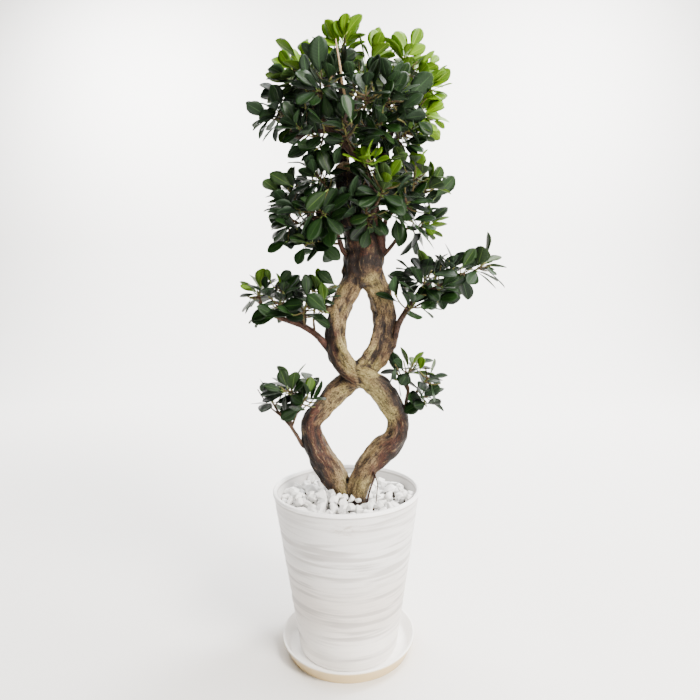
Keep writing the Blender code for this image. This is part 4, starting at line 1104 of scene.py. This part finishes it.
def planShoots(limbRows, stemRows, rng):
    spare = shoot["clearWood"]
    taken, twigs, plans = Crowd(), Crowd(), {}
    for name, path in limbRows.items():
        taken.add(name, Solid(*tubeFaces(path, spare)))
    for stem in stemRows:
        taken.add("stem", Solid(*tubeFaces(stem, spare, 16)))
    for name, (limb, share, tip, _, _) in shoots.items():
        for attempt in range(shoot["twigTries"]):
            bend = rng.normal(0, 0.004 * attempt, 3)
            path = shootPath(along(limbRows[limb], share), np.array(tip, float), bend)
            stub, twig = splitPath(path)
            shape = Solid(*tubeFaces(twig, spare))
            stubShape = Solid(*tubeFaces(stub, spare))
            if not taken.meets(shape) and not twigs.meets(stubShape):
                break
        taken.add(name + "_stub", stubShape)
        taken.add(name, shape)
        twigs.add(name, shape)
        plans[name] = (stub, twig, shape)
    return plans, taken


def leafPoints(root, ahead, face, length, thickness):
    side = np.cross(face, ahead)
    shares = np.array(leaf["outline"])
    half = leaf["width"] / 2
    spine = (root + shares[:, :1] * length * ahead
             + shares[:, 1:2] * half * length * side + shares[:, 2:] * length * face)
    return np.vstack([spine + face * thickness / 2, spine - face * thickness / 2])


def leafFaces():  # a foot triangle and a fan of five on each face, and a wall round them
    upper = [(0, 5, 1), (1, 5, 6)] + [(i + 1, i, 6) for i in range(1, 5)]
    faces = upper + [(7 + c, 7 + b, 7 + a) for a, b, c in upper]
    for i in range(6):
        j = (i + 1) % 6
        faces += [(i, j, 7 + j), (i, 7 + j, 7 + i)]
    return np.array(faces)


roughLeaf = leafFaces()


def leafFrame(alongTwig, turn, spread, drift):
    side = unit(np.cross(alongTwig, up + 0.01))
    other = np.cross(alongTwig, side)
    out = math.cos(turn) * side + math.sin(turn) * other
    ahead = unit(math.cos(spread) * alongTwig + math.sin(spread) * out + 0.12 * up)
    facing = 0.75 * alongTwig + 0.65 * up + drift
    return ahead, unit(facing - ahead * facing.dot(ahead))


def leafCrosses(blade, name, placed, taken, twig):
    # whether it meets other wood, a leaf elsewhere, or past its neck a leaf of its twig
    point, ahead, face, length = blade
    whole = Solid(leafPoints(*blade, leaf["clearBlade"]), roughLeaf)
    free = point + ahead * leaf["neck"] * length
    outer = Solid(leafPoints(free, ahead, face, (1 - leaf["neck"]) * length,
                             leaf["clearKin"]), roughLeaf)
    for i in placed.near(whole):
        own = placed.names[i] == name
        if outer.meets(placed.outers[i]) if own else whole.meets(placed.solids[i]):
            return True
    if twig and outer.meets(twig) or taken.meets(whole, name):
        return True
    placed.add(name, whole, outer)
    return False


def leavesOn(name, twig, shape, count, full, taken, placed, rng, tries, allowed=None):
    # a spiral round the twig, steeper to its tip; a leaf that crosses something is turned,
    # tilted or shortened until it is clear
    grown = []
    firstTurn = rng.uniform(0, tau)
    for k in range(count):
        down = (k / max(count - 1, 1)) ** 1.1
        share = leaf["zone"][0] + (leaf["zone"][1] - leaf["zone"][0]) * down
        point, alongTwig = along(twig, share)
        openBy = leaf["spread"][0] + (leaf["spread"][1] - leaf["spread"][0]) * (k / count) ** 0.7
        for attempt in range(tries):
            loose = min(attempt * 0.05, 1.0)
            turn = firstTurn + k * golden + rng.normal(0, 0.12 + loose)
            spread = math.radians(openBy) * rng.normal(1, 0.08 + 0.2 * loose)
            pose = leafFrame(alongTwig, turn, spread, rng.normal(0, 0.12, 3))
            length = full * rng.uniform(0.86, 1.04) * (1 - 0.22 * loose)
            if k == 0:
                length *= leaf["first"]
            blade = (point, *pose, length)
            if allowed and not allowed(blade):
                continue
            if not leafCrosses(blade, name, placed, taken, shape):
                grown.append((blade, k / count, name))
                break
    return grown


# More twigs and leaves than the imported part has, to the density of the real crown
tiers = {  # nodes by their first word: the cloud's centre, its reach, side twigs a shoot
    "crown": ((12, 4, 886), (152, 112, 114), 13),
    "mid": ((22, 4, 722), (140, 112, 84), 11),
    "right": ((150, 0, 598), (104, 66, 52), 6),
    "left": ((-82, -4, 572), (78, 66, 44), 8),
    "low_left": ((-88, -8, 424), (56, 52, 42), 4),
    "low_right": ((108, -2, 440), (50, 50, 46), 6),
}
extra = {
    "seed": 71, "twigLength": (20, 48), "twigRadii": (1.4, 1.0), "leaves": (4, 7),
    "leafLength": (38, 53), "tries": 22, "margin": 1.5, "enlarge": 1.18,
}
leafColours = {  # old, young and rib, each darker and lighter or old and young
    "above": (("#020705", "#16300C"), ("#345802", "#688E02"), ("#2A441A", "#8CAA2A")),
    "below": (("#08130D", "#1D3318"), ("#466C0A", "#6A8E14"), ("#35502E", "#98B040")),
}
# How young a shoot's leaves are, 0 old and dark to 1 fresh and yellow-green
youth = {
    "crown_top_a": 1.0, "crown_top_b": 0.95, "crown_top_c": 1.0, "crown_right_a": 0.95,
    "crown_right_b": 0.75, "crown_left_top": 0.7, "crown_left_a": 0.45, "crown_back_b": 0.8,
    "crown_back_a": 0.6, "crown_back_c": 0.7, "mid_top": 0.6, "mid_right_top": 0.6,
    "mid_right_far": 0.45, "mid_right_low": 0.45, "mid_left_far": 0.25, "mid_front": 0.3,
    "right_far": 0.18, "left_far": 0.6, "left_near": 0.25, "low_right_a": 0.4,
    "low_left_a": 0.2,
}


def tierOf(name):
    return next(tier for tier in sorted(tiers, key=len, reverse=True) if name.startswith(tier))


def insideCloud(point, tier, scale=1.0):
    centre, reach, _ = tiers[tier]
    share = (np.asarray(point) - centre) / (np.array(reach) * scale)
    return (np.abs(share) ** 2.6).sum() < 1


def growExtra(plans, taken, placed):
    rng = np.random.default_rng(extra["seed"])
    twigs, blades = {}, []
    for name, (_, twig, own) in plans.items():
        tier = tierOf(name)

        def allowed(blade):
            tip = blade[0] + blade[1] * blade[3]
            inBox = (tip > lowest + 12).all() and (tip < highest - 12).all()
            rough = leafPoints(*blade, 1.0)
            inBox = inBox or ((rough > lowest + extra["margin"]).all()
                              and (rough < highest - extra["margin"]).all())
            return inBox and insideCloud(tip, tier, 1.06)

        for side in range(tiers[tier][2]):
            for attempt in range(30):
                start, ahead = along(twig, rng.uniform(0.05, 0.72))
                axis = np.array(tiers[tier][0], float)
                outward = unit(start - axis + (0, 0, 1e-3))
                way = unit(0.45 * ahead + 0.75 * unit(rng.normal(size=3)) + 0.35 * outward
                           + 0.22 * up)
                length = rng.uniform(*extra["twigLength"]) * (1 - 0.015 * attempt)
                tip = start + way * length
                if not insideCloud(tip, tier, 0.92):
                    continue
                path = shootPath((start, way), tip, rng.normal(0, 0.05, 3))
                path = np.column_stack([path, np.linspace(*extra["twigRadii"], len(path))])
                free = path.copy()
                free[0, :3] += unit(path[1, :3] - path[0, :3]) * 4.2
                shape = Solid(*tubeFaces(free, 0.5))
                if taken.meets(shape) or placed.meets(shape):
                    continue
                key = f"{name}_side{side}"
                taken.add(key, shape)
                twigs[key] = path
                count = int(rng.integers(*extra["leaves"]))
                blades += leavesOn(key, path, shape, count, rng.uniform(*extra["leafLength"]),
                                   taken, placed, rng, extra["tries"], allowed)
                break
        count = int(rng.integers(3, 6))  # more leaves on the shoot's own twig
        blades += leavesOn(name, twig, own, count, rng.uniform(*extra["leafLength"]), taken,
                           placed, rng, extra["tries"], allowed)
    return twigs, blades


# Leaves that show at the crown's edge: foot x and z, tip x and z, y, youth
signs = (
    (7, 962, 9, 997, -6, 1.0), (6, 960, -6, 990, -10, 0.95), (9, 962, 31, 991, 2, 0.9),
    (4, 956, -33, 966, -2, 0.8), (2, 952, -48, 950, -14, 0.85), (53, 941, 51, 978, -22, 1.0),
    (104, 943, 82, 975, -10, 0.85), (105, 944, 121, 978, -14, 1.0), (100, 936, 128, 950, -24, 0.9),
    (119, 909, 148, 926, -6, 0.95), (129, 882, 163, 884, -2, 1.0), (125, 856, 156, 872, -8, 1.0),
    (124, 850, 151, 836, 2, 0.8), (118, 920, 140, 944, 2, 0.9), (-60, 926, -66, 948, -20, 0.8),
    (-66, 924, -104, 938, -12, 0.9), (-70, 916, -88, 944, -24, 0.6), (-80, 905, -112, 908, -8, 0.1),
    (-92, 860, -124, 850, -22, 0.05), (-74, 836, -92, 812, -30, 0.2),
    (44, 776, 30, 796, -62, 0.85), (46, 776, 58, 795, -62, 0.9), (118, 774, 121, 795, -24, 0.8),
    (142, 760, 157, 778, -4, 0.85), (66, 742, 82, 772, -80, 0.45), (124, 694, 138, 672, -24, 0.5),
    (178, 618, 200, 650, -14, 0.12), (-140, 590, -160, 602, -6, 0.5),
    (-88, 440, -98, 470, -40, 0.12), (118, 462, 122, 486, -20, 0.75),
    # and leaves that show on the front of the tiers
    (42, 694, 11, 686, -66, 0.1), (43, 683, 61, 669, -68, 0.08), (21, 739, -7, 730, -44, 0.0),
    (12, 768, -17, 764, -38, 0.05), (41, 745, 14, 774, -52, 0.05),
    (46, 723, 79, 761, -72, 0.35), (36, 783, 17, 792, -56, 0.9), (41, 784, 60, 793, -58, 0.9),
    (-18, 730, -50, 702, -54, 0.12), (-72, 745, -107, 767, -24, 0.15),
    (-15, 752, -30, 796, -44, 0.1), (-84, 667, -117, 654, -24, 0.0),
    (-58, 658, -71, 631, -34, 0.0), (-34, 662, -5, 635, -44, 0.0), (80, 699, 85, 663, -44, 0.0),
    (139, 726, 173, 763, -14, 0.05), (47, 888, 46, 920, -60, 0.0), (59, 837, 69, 877, -84, 0.0),
    (83, 844, 118, 869, -74, 0.0), (-3, 916, 24, 931, -50, 0.0), (-5, 916, -39, 931, -50, 0.02),
    (-52, 868, -82, 873, -50, 0.0), (-52, 851, -89, 850, -52, 0.05),
    (4, 846, -24, 869, -84, 0.08), (111, 837, 133, 815, -40, 0.0), (16, 814, 5, 851, -86, 0.02),
    (-21, 824, -47, 838, -56, 0.0), (80, 882, 100, 912, -60, 0.1),
    (-28, 569, -31, 602, -56, 0.3), (-21, 556, -50, 585, -44, 0.05),
    (-10, 597, -39, 619, -26, 0.05), (-112, 603, -119, 625, -22, 0.25),
    (-103, 600, -80, 621, -20, 0.0), (-53, 594, -59, 616, -30, 0.0),
)


def placeSigns(plans, taken, placed, twigPaths):
    # each on a short twig from the nearest wood, moved in depth until it is clear
    rng = np.random.default_rng(8)
    knots = np.vstack([smoothPath(path, 6)[:, :3] for path in twigPaths])
    found = []
    for k, (x, z, tipX, tipZ, y, fresh) in enumerate(signs):
        for shift in (0, -5, 5, -10, 10, -15, -20, 15, -26, -32, 20, -38, 26):
            root = np.array([x, y + shift, z], float)
            run = np.array([tipX, y + shift - 4, tipZ]) - root
            ahead = unit(run)
            face = unit(rng.normal(0, 0.3, 3) + (0, -1, 0.4))
            face = unit(face - ahead * face.dot(ahead))
            blade = (root, ahead, face, np.linalg.norm(run))
            if not leafCrosses(blade, f"sign{k}", placed, taken, None):
                break
        else:
            continue
        start = knots[np.argmin(np.linalg.norm(knots - root, axis=1))]
        reach = np.linalg.norm(root - start)
        middle = (start + root) / 2 - 0.12 * reach * up
        path = np.column_stack([np.vstack([start, middle, root]), (1.3, 1.1, 0.8)])
        if reach > 3:
            twigPaths.append(path)
        found.append((blade, 0.0, nameOfSign(x, z, fresh)))
    return found


def nameOfSign(x, z, fresh):  # its tier's name with its youth in hundredths
    tier = ("crown" if z > 800 else "mid" if z > 664 else "right" if x > 60 and z > 540 else
            "left" if z > 540 else "low_right" if x > 0 else "low_left")
    return f"{tier}_sign{round(fresh * 100)}"


# A leaf's blade: rows from foot to tip, and five places across from margin to margin
leafRows = np.array([0.05, 0.14, 0.26, 0.41, 0.57, 0.72, 0.85, 0.95])
leafAcross = np.array([-1, -0.5, 0, 0.5, 1])


def bladeTopology():
    rows, upper = len(leafRows), {}
    for i in range(rows):
        for j in range(5):
            upper[i, j] = 2 + i * 5 + j
    lower = dict(upper)
    for i in range(rows):
        for j in (1, 2, 3):
            lower[i, j] = 2 + rows * 5 + i * 3 + j - 1
    quads, triangles, underQuads, underTriangles = [], [], [], []
    for i in range(rows - 1):
        for j in range(4):
            corners = [(i, j), (i + 1, j), (i + 1, j + 1), (i, j + 1)]
            quads.append([upper[c] for c in corners])
            underQuads.append([lower[c] for c in reversed(corners)])
    for j in range(4):
        triangles.append([0, upper[0, j], upper[0, j + 1]])
        triangles.append([1, upper[rows - 1, j + 1], upper[rows - 1, j]])
        underTriangles.append([0, lower[0, j + 1], lower[0, j]])
        underTriangles.append([1, lower[rows - 1, j], lower[rows - 1, j + 1]])
    return quads + underQuads, triangles + underTriangles, len(quads), len(triangles)


def bladePoints(grown, rng):
    # P(t, s) = root + t L ahead + s w(t) side + rise(t, s) face, w a blunt egg on a short
    # stalk, rise a fold up from the midrib, a droop to the tip and a waved margin
    count = len(grown)
    root, ahead, face = (np.array([blade[k] for blade, _, _ in grown]) for k in range(3))
    length = np.array([blade[3] for blade, _, _ in grown])[:, None, None]
    side = np.cross(face, ahead)
    t = leafRows[None, :, None]
    s = leafAcross[None, None, :]

    def each(low, high):
        return rng.uniform(low, high, count)[:, None, None]

    stalk = 0.13
    run = np.clip((t - stalk) / (1 - stalk), 0, 1)
    egg = np.sin(math.pi * run ** each(1.2, 1.6)) ** each(0.6, 0.74)
    width = np.maximum(0.5 * leaf["width"] * length * each(0.84, 1.04) * egg, 0.75)
    fold, droop = each(0.08, 0.3), each(0.03, 0.1)
    wave, phase = each(0.0, 0.016), each(0, tau)
    rise = fold * np.abs(s) * width - droop * length * t**2
    rise = rise + wave * length * s**2 * np.sin(tau * 1.4 * t + phase + 1.3 * s) * egg
    twist = each(-0.12, 0.12) * s * width * t
    bent = each(-0.05, 0.05)
    skew = bent * length * t**2
    thick = np.where(t < stalk + 0.02, 1.0, 0.42)
    flat = (root[:, None, None] + (t * length)[..., None] * ahead[:, None, None]
            + (s * width + skew)[..., None] * side[:, None, None]
            + (rise + twist)[..., None] * face[:, None, None])
    above = flat + ((1 - s**2) ** 0.5 * thick / 2)[..., None] * face[:, None, None]
    below = flat - ((1 - s**2) ** 0.5 * thick / 2)[..., None] * face[:, None, None]
    tip = (root + length[:, 0] * ahead + (bent * length)[:, 0] * side
           - (droop * length)[:, 0] * face)
    points = np.concatenate([root[:, None], tip[:, None], above.reshape(count, -1, 3),
                             below[:, :, 1:4].reshape(count, -1, 3)], axis=1)
    return np.clip(points, lowest + 0.05, highest - 0.05), root + ahead * length[:, 0] / 2


def buildBlades(name, grown, material, rng, nodes):
    points, middle = bladePoints(grown, rng)
    count, perLeaf = points.shape[:2]
    rows = len(leafRows)
    quads, triangles, upperQuads, upperTriangles = bladeTopology()
    starts = (np.arange(count) * perLeaf)[:, None, None]
    allQuads = (np.array(quads)[None] + starts).reshape(-1, 4)
    allTriangles = (np.array(triangles)[None] + starts).reshape(-1, 3)
    mesh = makeMesh(name, points.reshape(-1, 3), allQuads, allTriangles)

    across = np.concatenate([[0, 0], np.tile(leafAcross, rows),
                             np.tile(leafAcross[1:4], rows)]) / 2 + 0.5
    lengthwise = np.concatenate([[0, 1], np.repeat(leafRows, 5), np.repeat(leafRows, 3)])
    order = [np.tile(np.array(quads).ravel(), count), np.tile(np.array(triangles).ravel(), count)]
    order = np.concatenate(order)
    leafMap = mesh.uv_layers.new(name="leafMap")
    leafMap.uv.foreach_set("vector", np.stack([across[order], lengthwise[order]],
                                              axis=1).astype(np.float32).ravel())
    isUnder = [np.repeat([0, 1], [upperQuads * 4, (len(quads) - upperQuads) * 4]),
               np.repeat([0, 1], [upperTriangles * 3, (len(triangles) - upperTriangles) * 3])]
    under = np.concatenate([np.tile(isUnder[0], count), np.tile(isUnder[1], count)])
    age = np.array([youthOf(blade, rank, owner, rng) for blade, rank, owner in grown])
    centre, reach, _ = tiers[tierOf(grown[0][2])]  # painted shade: leaves deep in the cloud are darker
    depth = (((middle - centre) / reach) ** 2).sum(axis=1) ** 0.5
    toneAndDepthShade = (rng.uniform(0, 0.8, count) + 0.6 * (depth - 0.65)).clip(0, 1)
    perQuads, perTriangles = len(quads) * 4, len(triangles) * 3
    tint = np.ones((len(order), 4))
    tint[:, 0] = np.concatenate([np.repeat(age, perQuads), np.repeat(age, perTriangles)])
    tint[:, 1] = np.concatenate([np.repeat(toneAndDepthShade, perQuads), np.repeat(toneAndDepthShade, perTriangles)])
    tint[:, 2] = under
    addPaint(mesh, "leafTint", tint, "FLOAT_COLOR", "CORNER")
    addPiece(name, mesh, material, "leaf", *nodes)


def youthOf(blade, rank, owner, rng):  # young at the tips of young shoots, and brighter on the crown's top and right edge: young growth and painted light
    if "_sign" in owner:
        return int(owner.split("_sign")[1]) / 100
    base = owner.split("_side")[0]
    fresh = youth.get(base, 0.0)
    tip = blade[0] + blade[1] * blade[3]
    value = fresh * (1 - 0.45 * rank) - 0.35 * ("_side" in owner)
    if base.startswith("crown"):
        # the crown's top and right edge: young growth, partly painted light from above and the
        # right
        value += 0.75 * np.clip((tip[2] - 950) / 40, 0, 1)
        value += 0.6 * np.clip((tip[0] - 112) / 30, 0, 1)
    elif rank == 0:
        value += 0.25 * (rng.uniform() < 0.3)
    return float(np.clip(value + rng.normal(0, 0.05), 0, 1))


def leafMaterial():
    # waxy, leathery leaf: dark and glossy above, duller below, with a pale midrib
    material, tree, shader = newMaterial("glossyFicusLeaf")
    shader.inputs["Specular IOR Level"].default_value = 0.22
    tint = addNode(tree, "Attribute", out="Color", attribute_name="leafTint")
    age, toneAndDepthShade, under = [addNode(tree, "SeparateColor", {0: tint}, k) for k in range(3)]
    spot = addNode(tree, "UVMap", uv_map="leafMap")
    across, lengthwise = [addNode(tree, "SeparateXYZ", {0: spot}, k) for k in range(2)]
    place = addNode(tree, "TexCoord", out="Object")
    half = addNode(tree, "Math", {0: across, 1: 0.5}, operation="SUBTRACT")
    half = addNode(tree, "Math", {0: half}, operation="ABSOLUTE")
    half = addNode(tree, "Math", {0: half, 1: 2.0}, operation="MULTIPLY")
    wide = addNode(tree, "Math", {0: lengthwise, 1: -0.05, 2: 0.085}, operation="MULTIPLY_ADD")
    rib = addNode(tree, "Math", {0: half, 1: wide}, operation="DIVIDE")
    rib = addNode(tree, "MapRange", {0: rib, 1: 1.25, 2: 0.6}, **softStep)
    # thirteen veins a side, which run forward as they go out
    slant = addNode(tree, "Math", {0: half, 1: -1.9}, operation="MULTIPLY")
    phase = addNode(tree, "Math", {0: lengthwise, 1: 13.0, 2: slant}, operation="MULTIPLY_ADD")
    phase = addNode(tree, "Math", {0: phase, 1: tau}, operation="MULTIPLY")
    veins = addNode(tree, "Math", {0: phase}, operation="COSINE")
    veins = addNode(tree, "MapRange", {0: veins, 1: 0.78, 2: 1.0}, **softStep)
    mottle = addNode(tree, "TexNoise", {0: place, "Scale": perMm / 14, "Detail": 3})
    mottle = addNode(tree, "Math", {0: mottle, 1: 0.5, 2: -0.12}, operation="MULTIPLY_ADD")
    # random tone and painted depth shade set how dark the old leaves are
    shade = addNode(tree, "Math", {0: toneAndDepthShade, 1: 0.75, 2: mottle}, operation="MULTIPLY_ADD",
                    use_clamp=True)
    fresh = addNode(tree, "MapRange", {0: age, 1: 0.05, 2: 0.85}, **softStep)
    faces = []
    for colours, ribShare, veinShare in ((leafColours["above"], 0.6, 0.12),
                                         (leafColours["below"], 0.75, 0.18)):
        old, young, ribs = [addNode(tree, "Mix", {0: amount, 6: linear(low), 7: linear(high)},
                                    **colourMix)
                            for amount, (low, high) in zip((shade, shade, age), colours)]
        face = addNode(tree, "Mix", {0: fresh, 6: old, 7: young}, **colourMix)
        for line, share in ((rib, ribShare), (veins, veinShare)):
            line = addNode(tree, "Math", {0: line, 1: share}, operation="MULTIPLY")
            face = addNode(tree, "Mix", {0: line, 6: face, 7: ribs}, **colourMix)
        faces.append(face)
    colour = addNode(tree, "Mix", {0: under, 6: faces[0], 7: faces[1]}, **colourMix)
    stalk = addNode(tree, "MapRange", {0: lengthwise, 1: 0.16, 2: 0.11}, **softStep)
    stem = addNode(tree, "Mix", {0: age, 6: linear("#5E7638"), 7: linear("#A5BC50")},
                   **colourMix)
    colour = addNode(tree, "Mix", {0: stalk, 6: colour, 7: stem}, **colourMix)
    rough = addNode(tree, "MapRange", {0: under, 1: 0, 2: 1, 3: 0.44, 4: 0.62})
    ripple = addNode(tree, "TexNoise", {0: place, "Scale": perMm / 5, "Detail": 2})
    height = addNode(tree, "Math", {0: veins, 1: -0.35, 2: ripple}, operation="MULTIPLY_ADD")
    height = addNode(tree, "Math", {0: height, 1: rib}, operation="SUBTRACT")
    finishMaterial(tree, shader, colour, height, 0.35, 0.6, rough)
    return material


def buildFoliage():
    rng = np.random.default_rng(shoot["seed"])
    limbRows = {name: np.array(guide, float) for name, guide in limbs.items()}
    stemRows = [np.array(guide, float) for guide in (leftStem, rightStem, upperTrunk)]
    plans, taken = planShoots(limbRows, stemRows, rng)
    placed, grown = Crowd(), []
    for name, (_, twig, shape) in plans.items():
        grown += leavesOn(name, twig, shape, *shoots[name][3:], taken, placed, rng,
                          leaf["tries"])
    print("leaves of the packed part:", len(grown))
    for k, ((root, ahead, face, length), rank, owner) in enumerate(grown):
        longer = (root, ahead, face, length * extra["enlarge"])
        rough = leafPoints(*longer, 1.0)
        if (rough > lowest + 1).all() and (rough < highest - 1).all():
            grown[k] = (longer, rank, owner)
    for row in fineWood:
        taken.add("fineWood", Solid(*tubeFaces(np.array(row[1:], float), shoot["clearWood"])))
    twigPaths = [np.vstack([stub[:1], twig[1:]]) for stub, twig, _ in plans.values()]
    signs = placeSigns(plans, taken, placed, twigPaths)
    sideTwigs, more = growExtra(plans, taken, placed)
    print("leaves added:", len(signs) + len(more), "on", len(sideTwigs), "more twigs")
    grown += signs + more
    twigPaths += list(sideTwigs.values())

    def twigTone(k, share):
        green = 0.25 + 0.6 * share
        return np.stack([0.5 - 0.45 * share, green, 0.1 + 0 * share, 0.05 + 0 * share], axis=1)

    addPiece("twigs", barkRods("twigs", twigPaths, 8, 8, twigTone), limbBark, "bark")
    material = leafMaterial()
    shapes = np.random.default_rng(31)
    for tier in tiers:
        own = [item for item in grown if tierOf(item[2]) == tier]
        nodes = [name for name in shoots if tierOf(name) == tier]
        title = "".join(word.capitalize() for word in tier.split("_"))
        buildBlades("foliage" + title, own, material, shapes, nodes)
        print(title, len(own), "leaves")


buildFoliage()
print("foliage made")

# The stage: a pale floor that sweeps up behind, soft lights, and the camera
studio = {
    "floor": "#E6E4E1", "sky": "#FFFFFF", "skyStrength": 0.1, "skySeen": 1.6,
    "camera": (0.009, -0.847, 0.571), "pitch": 5.1, "roll": -0.8, "lens": 27.14,
    "lights": (  # name, place, target, width in metres, watts, colour
        ("keyLight", (1.3, -1.3, 1.9), (0, 0, 0.45), 0.8, 160, "#FFFAF2"),
        ("fillLight", (1.0, -1.8, 0.45), (0, 0, 0.2), 0.9, 34, "#FFFAF5"),
        ("topLight", (0.45, 0.1, 2.5), (0, 0, 0.6), 0.9, 90, "#FFFFFF"),
        ("backdropLeft", (-1.6, 2.0, 2.6), (-1.2, 3.6, 0.7), 1.4, 240, "#FFFFFF"),
        ("backdropRight", (1.8, 1.4, 2.7), (0.7, 3.5, 0.8), 1.6, 440, "#FFFFFF"),
    ),
}


def buildStage():
    # x along, and a profile of a flat floor, a quarter round and a wall
    arc = [(2.2 + 1.2 * math.sin(t), 1.2 - 1.2 * math.cos(t)) for t in np.linspace(0, 1.45, 24)]
    profile = [(-6.0, 0.0), (-2.0, 0.0), *arc, (3.6, 6.0)]
    across = np.linspace(-7, 7, 5)
    points = np.array([(x, y, z) for x in across for y, z in profile]) * 1000
    rows = len(profile)
    quads = [(i * rows + j, (i + 1) * rows + j, (i + 1) * rows + j + 1, i * rows + j + 1)
             for i in range(len(across) - 1) for j in range(rows - 1)]
    mesh = makeMesh("floorSweep", points, quads)
    floor = bpy.data.objects.new("floorSweep", mesh)
    bpy.context.scene.collection.objects.link(floor)
    material, _, shader = newMaterial("palePaperSweep", Roughness=0.85)
    shader.inputs["Base Color"].default_value = linear(studio["floor"])
    mesh.materials.append(material)


def addLight(name, place, target, size, power, colour):
    light = bpy.data.lights.new(name, "AREA")
    light.shape = "SQUARE"
    light.size = size
    light.energy = power
    light.color = linear(colour)[:3]
    holder = bpy.data.objects.new(name, light)
    bpy.context.scene.collection.objects.link(holder)
    holder.location = place
    look = Vector(target) - Vector(place)
    holder.rotation_euler = look.to_track_quat("-Z", "Y").to_euler()


def buildStudio():
    buildStage()
    for row in studio["lights"]:
        addLight(*row)
    world = bpy.data.worlds.new("studio")
    world.use_nodes = True
    sky = world.node_tree.nodes["Background"]
    sky.inputs["Color"].default_value = linear(studio["sky"])
    # dim as a light, pale where the camera sees past the sweep
    seen = addNode(world.node_tree, "LightPath", out="Is Camera Ray")
    strength = addNode(world.node_tree, "Math", {0: seen, 1: studio["skySeen"],
                                                 2: studio["skyStrength"]},
                       operation="MULTIPLY_ADD")
    world.node_tree.links.new(strength, sky.inputs["Strength"])
    bpy.context.scene.world = world
    camera = bpy.data.cameras.new("photoCamera")
    camera.lens = studio["lens"]
    camera.sensor_width = 36
    camera.clip_start, camera.clip_end = 0.01, 40
    holder = bpy.data.objects.new("photoCamera", camera)
    bpy.context.scene.collection.objects.link(holder)
    pitch = Euler((math.radians(90 - studio["pitch"]), 0, 0)).to_matrix()
    roll = Euler((0, 0, math.radians(studio["roll"]))).to_matrix()
    holder.rotation_euler = (pitch @ roll).to_euler()
    holder.location = studio["camera"]
    bpy.context.scene.camera = holder


buildStudio()
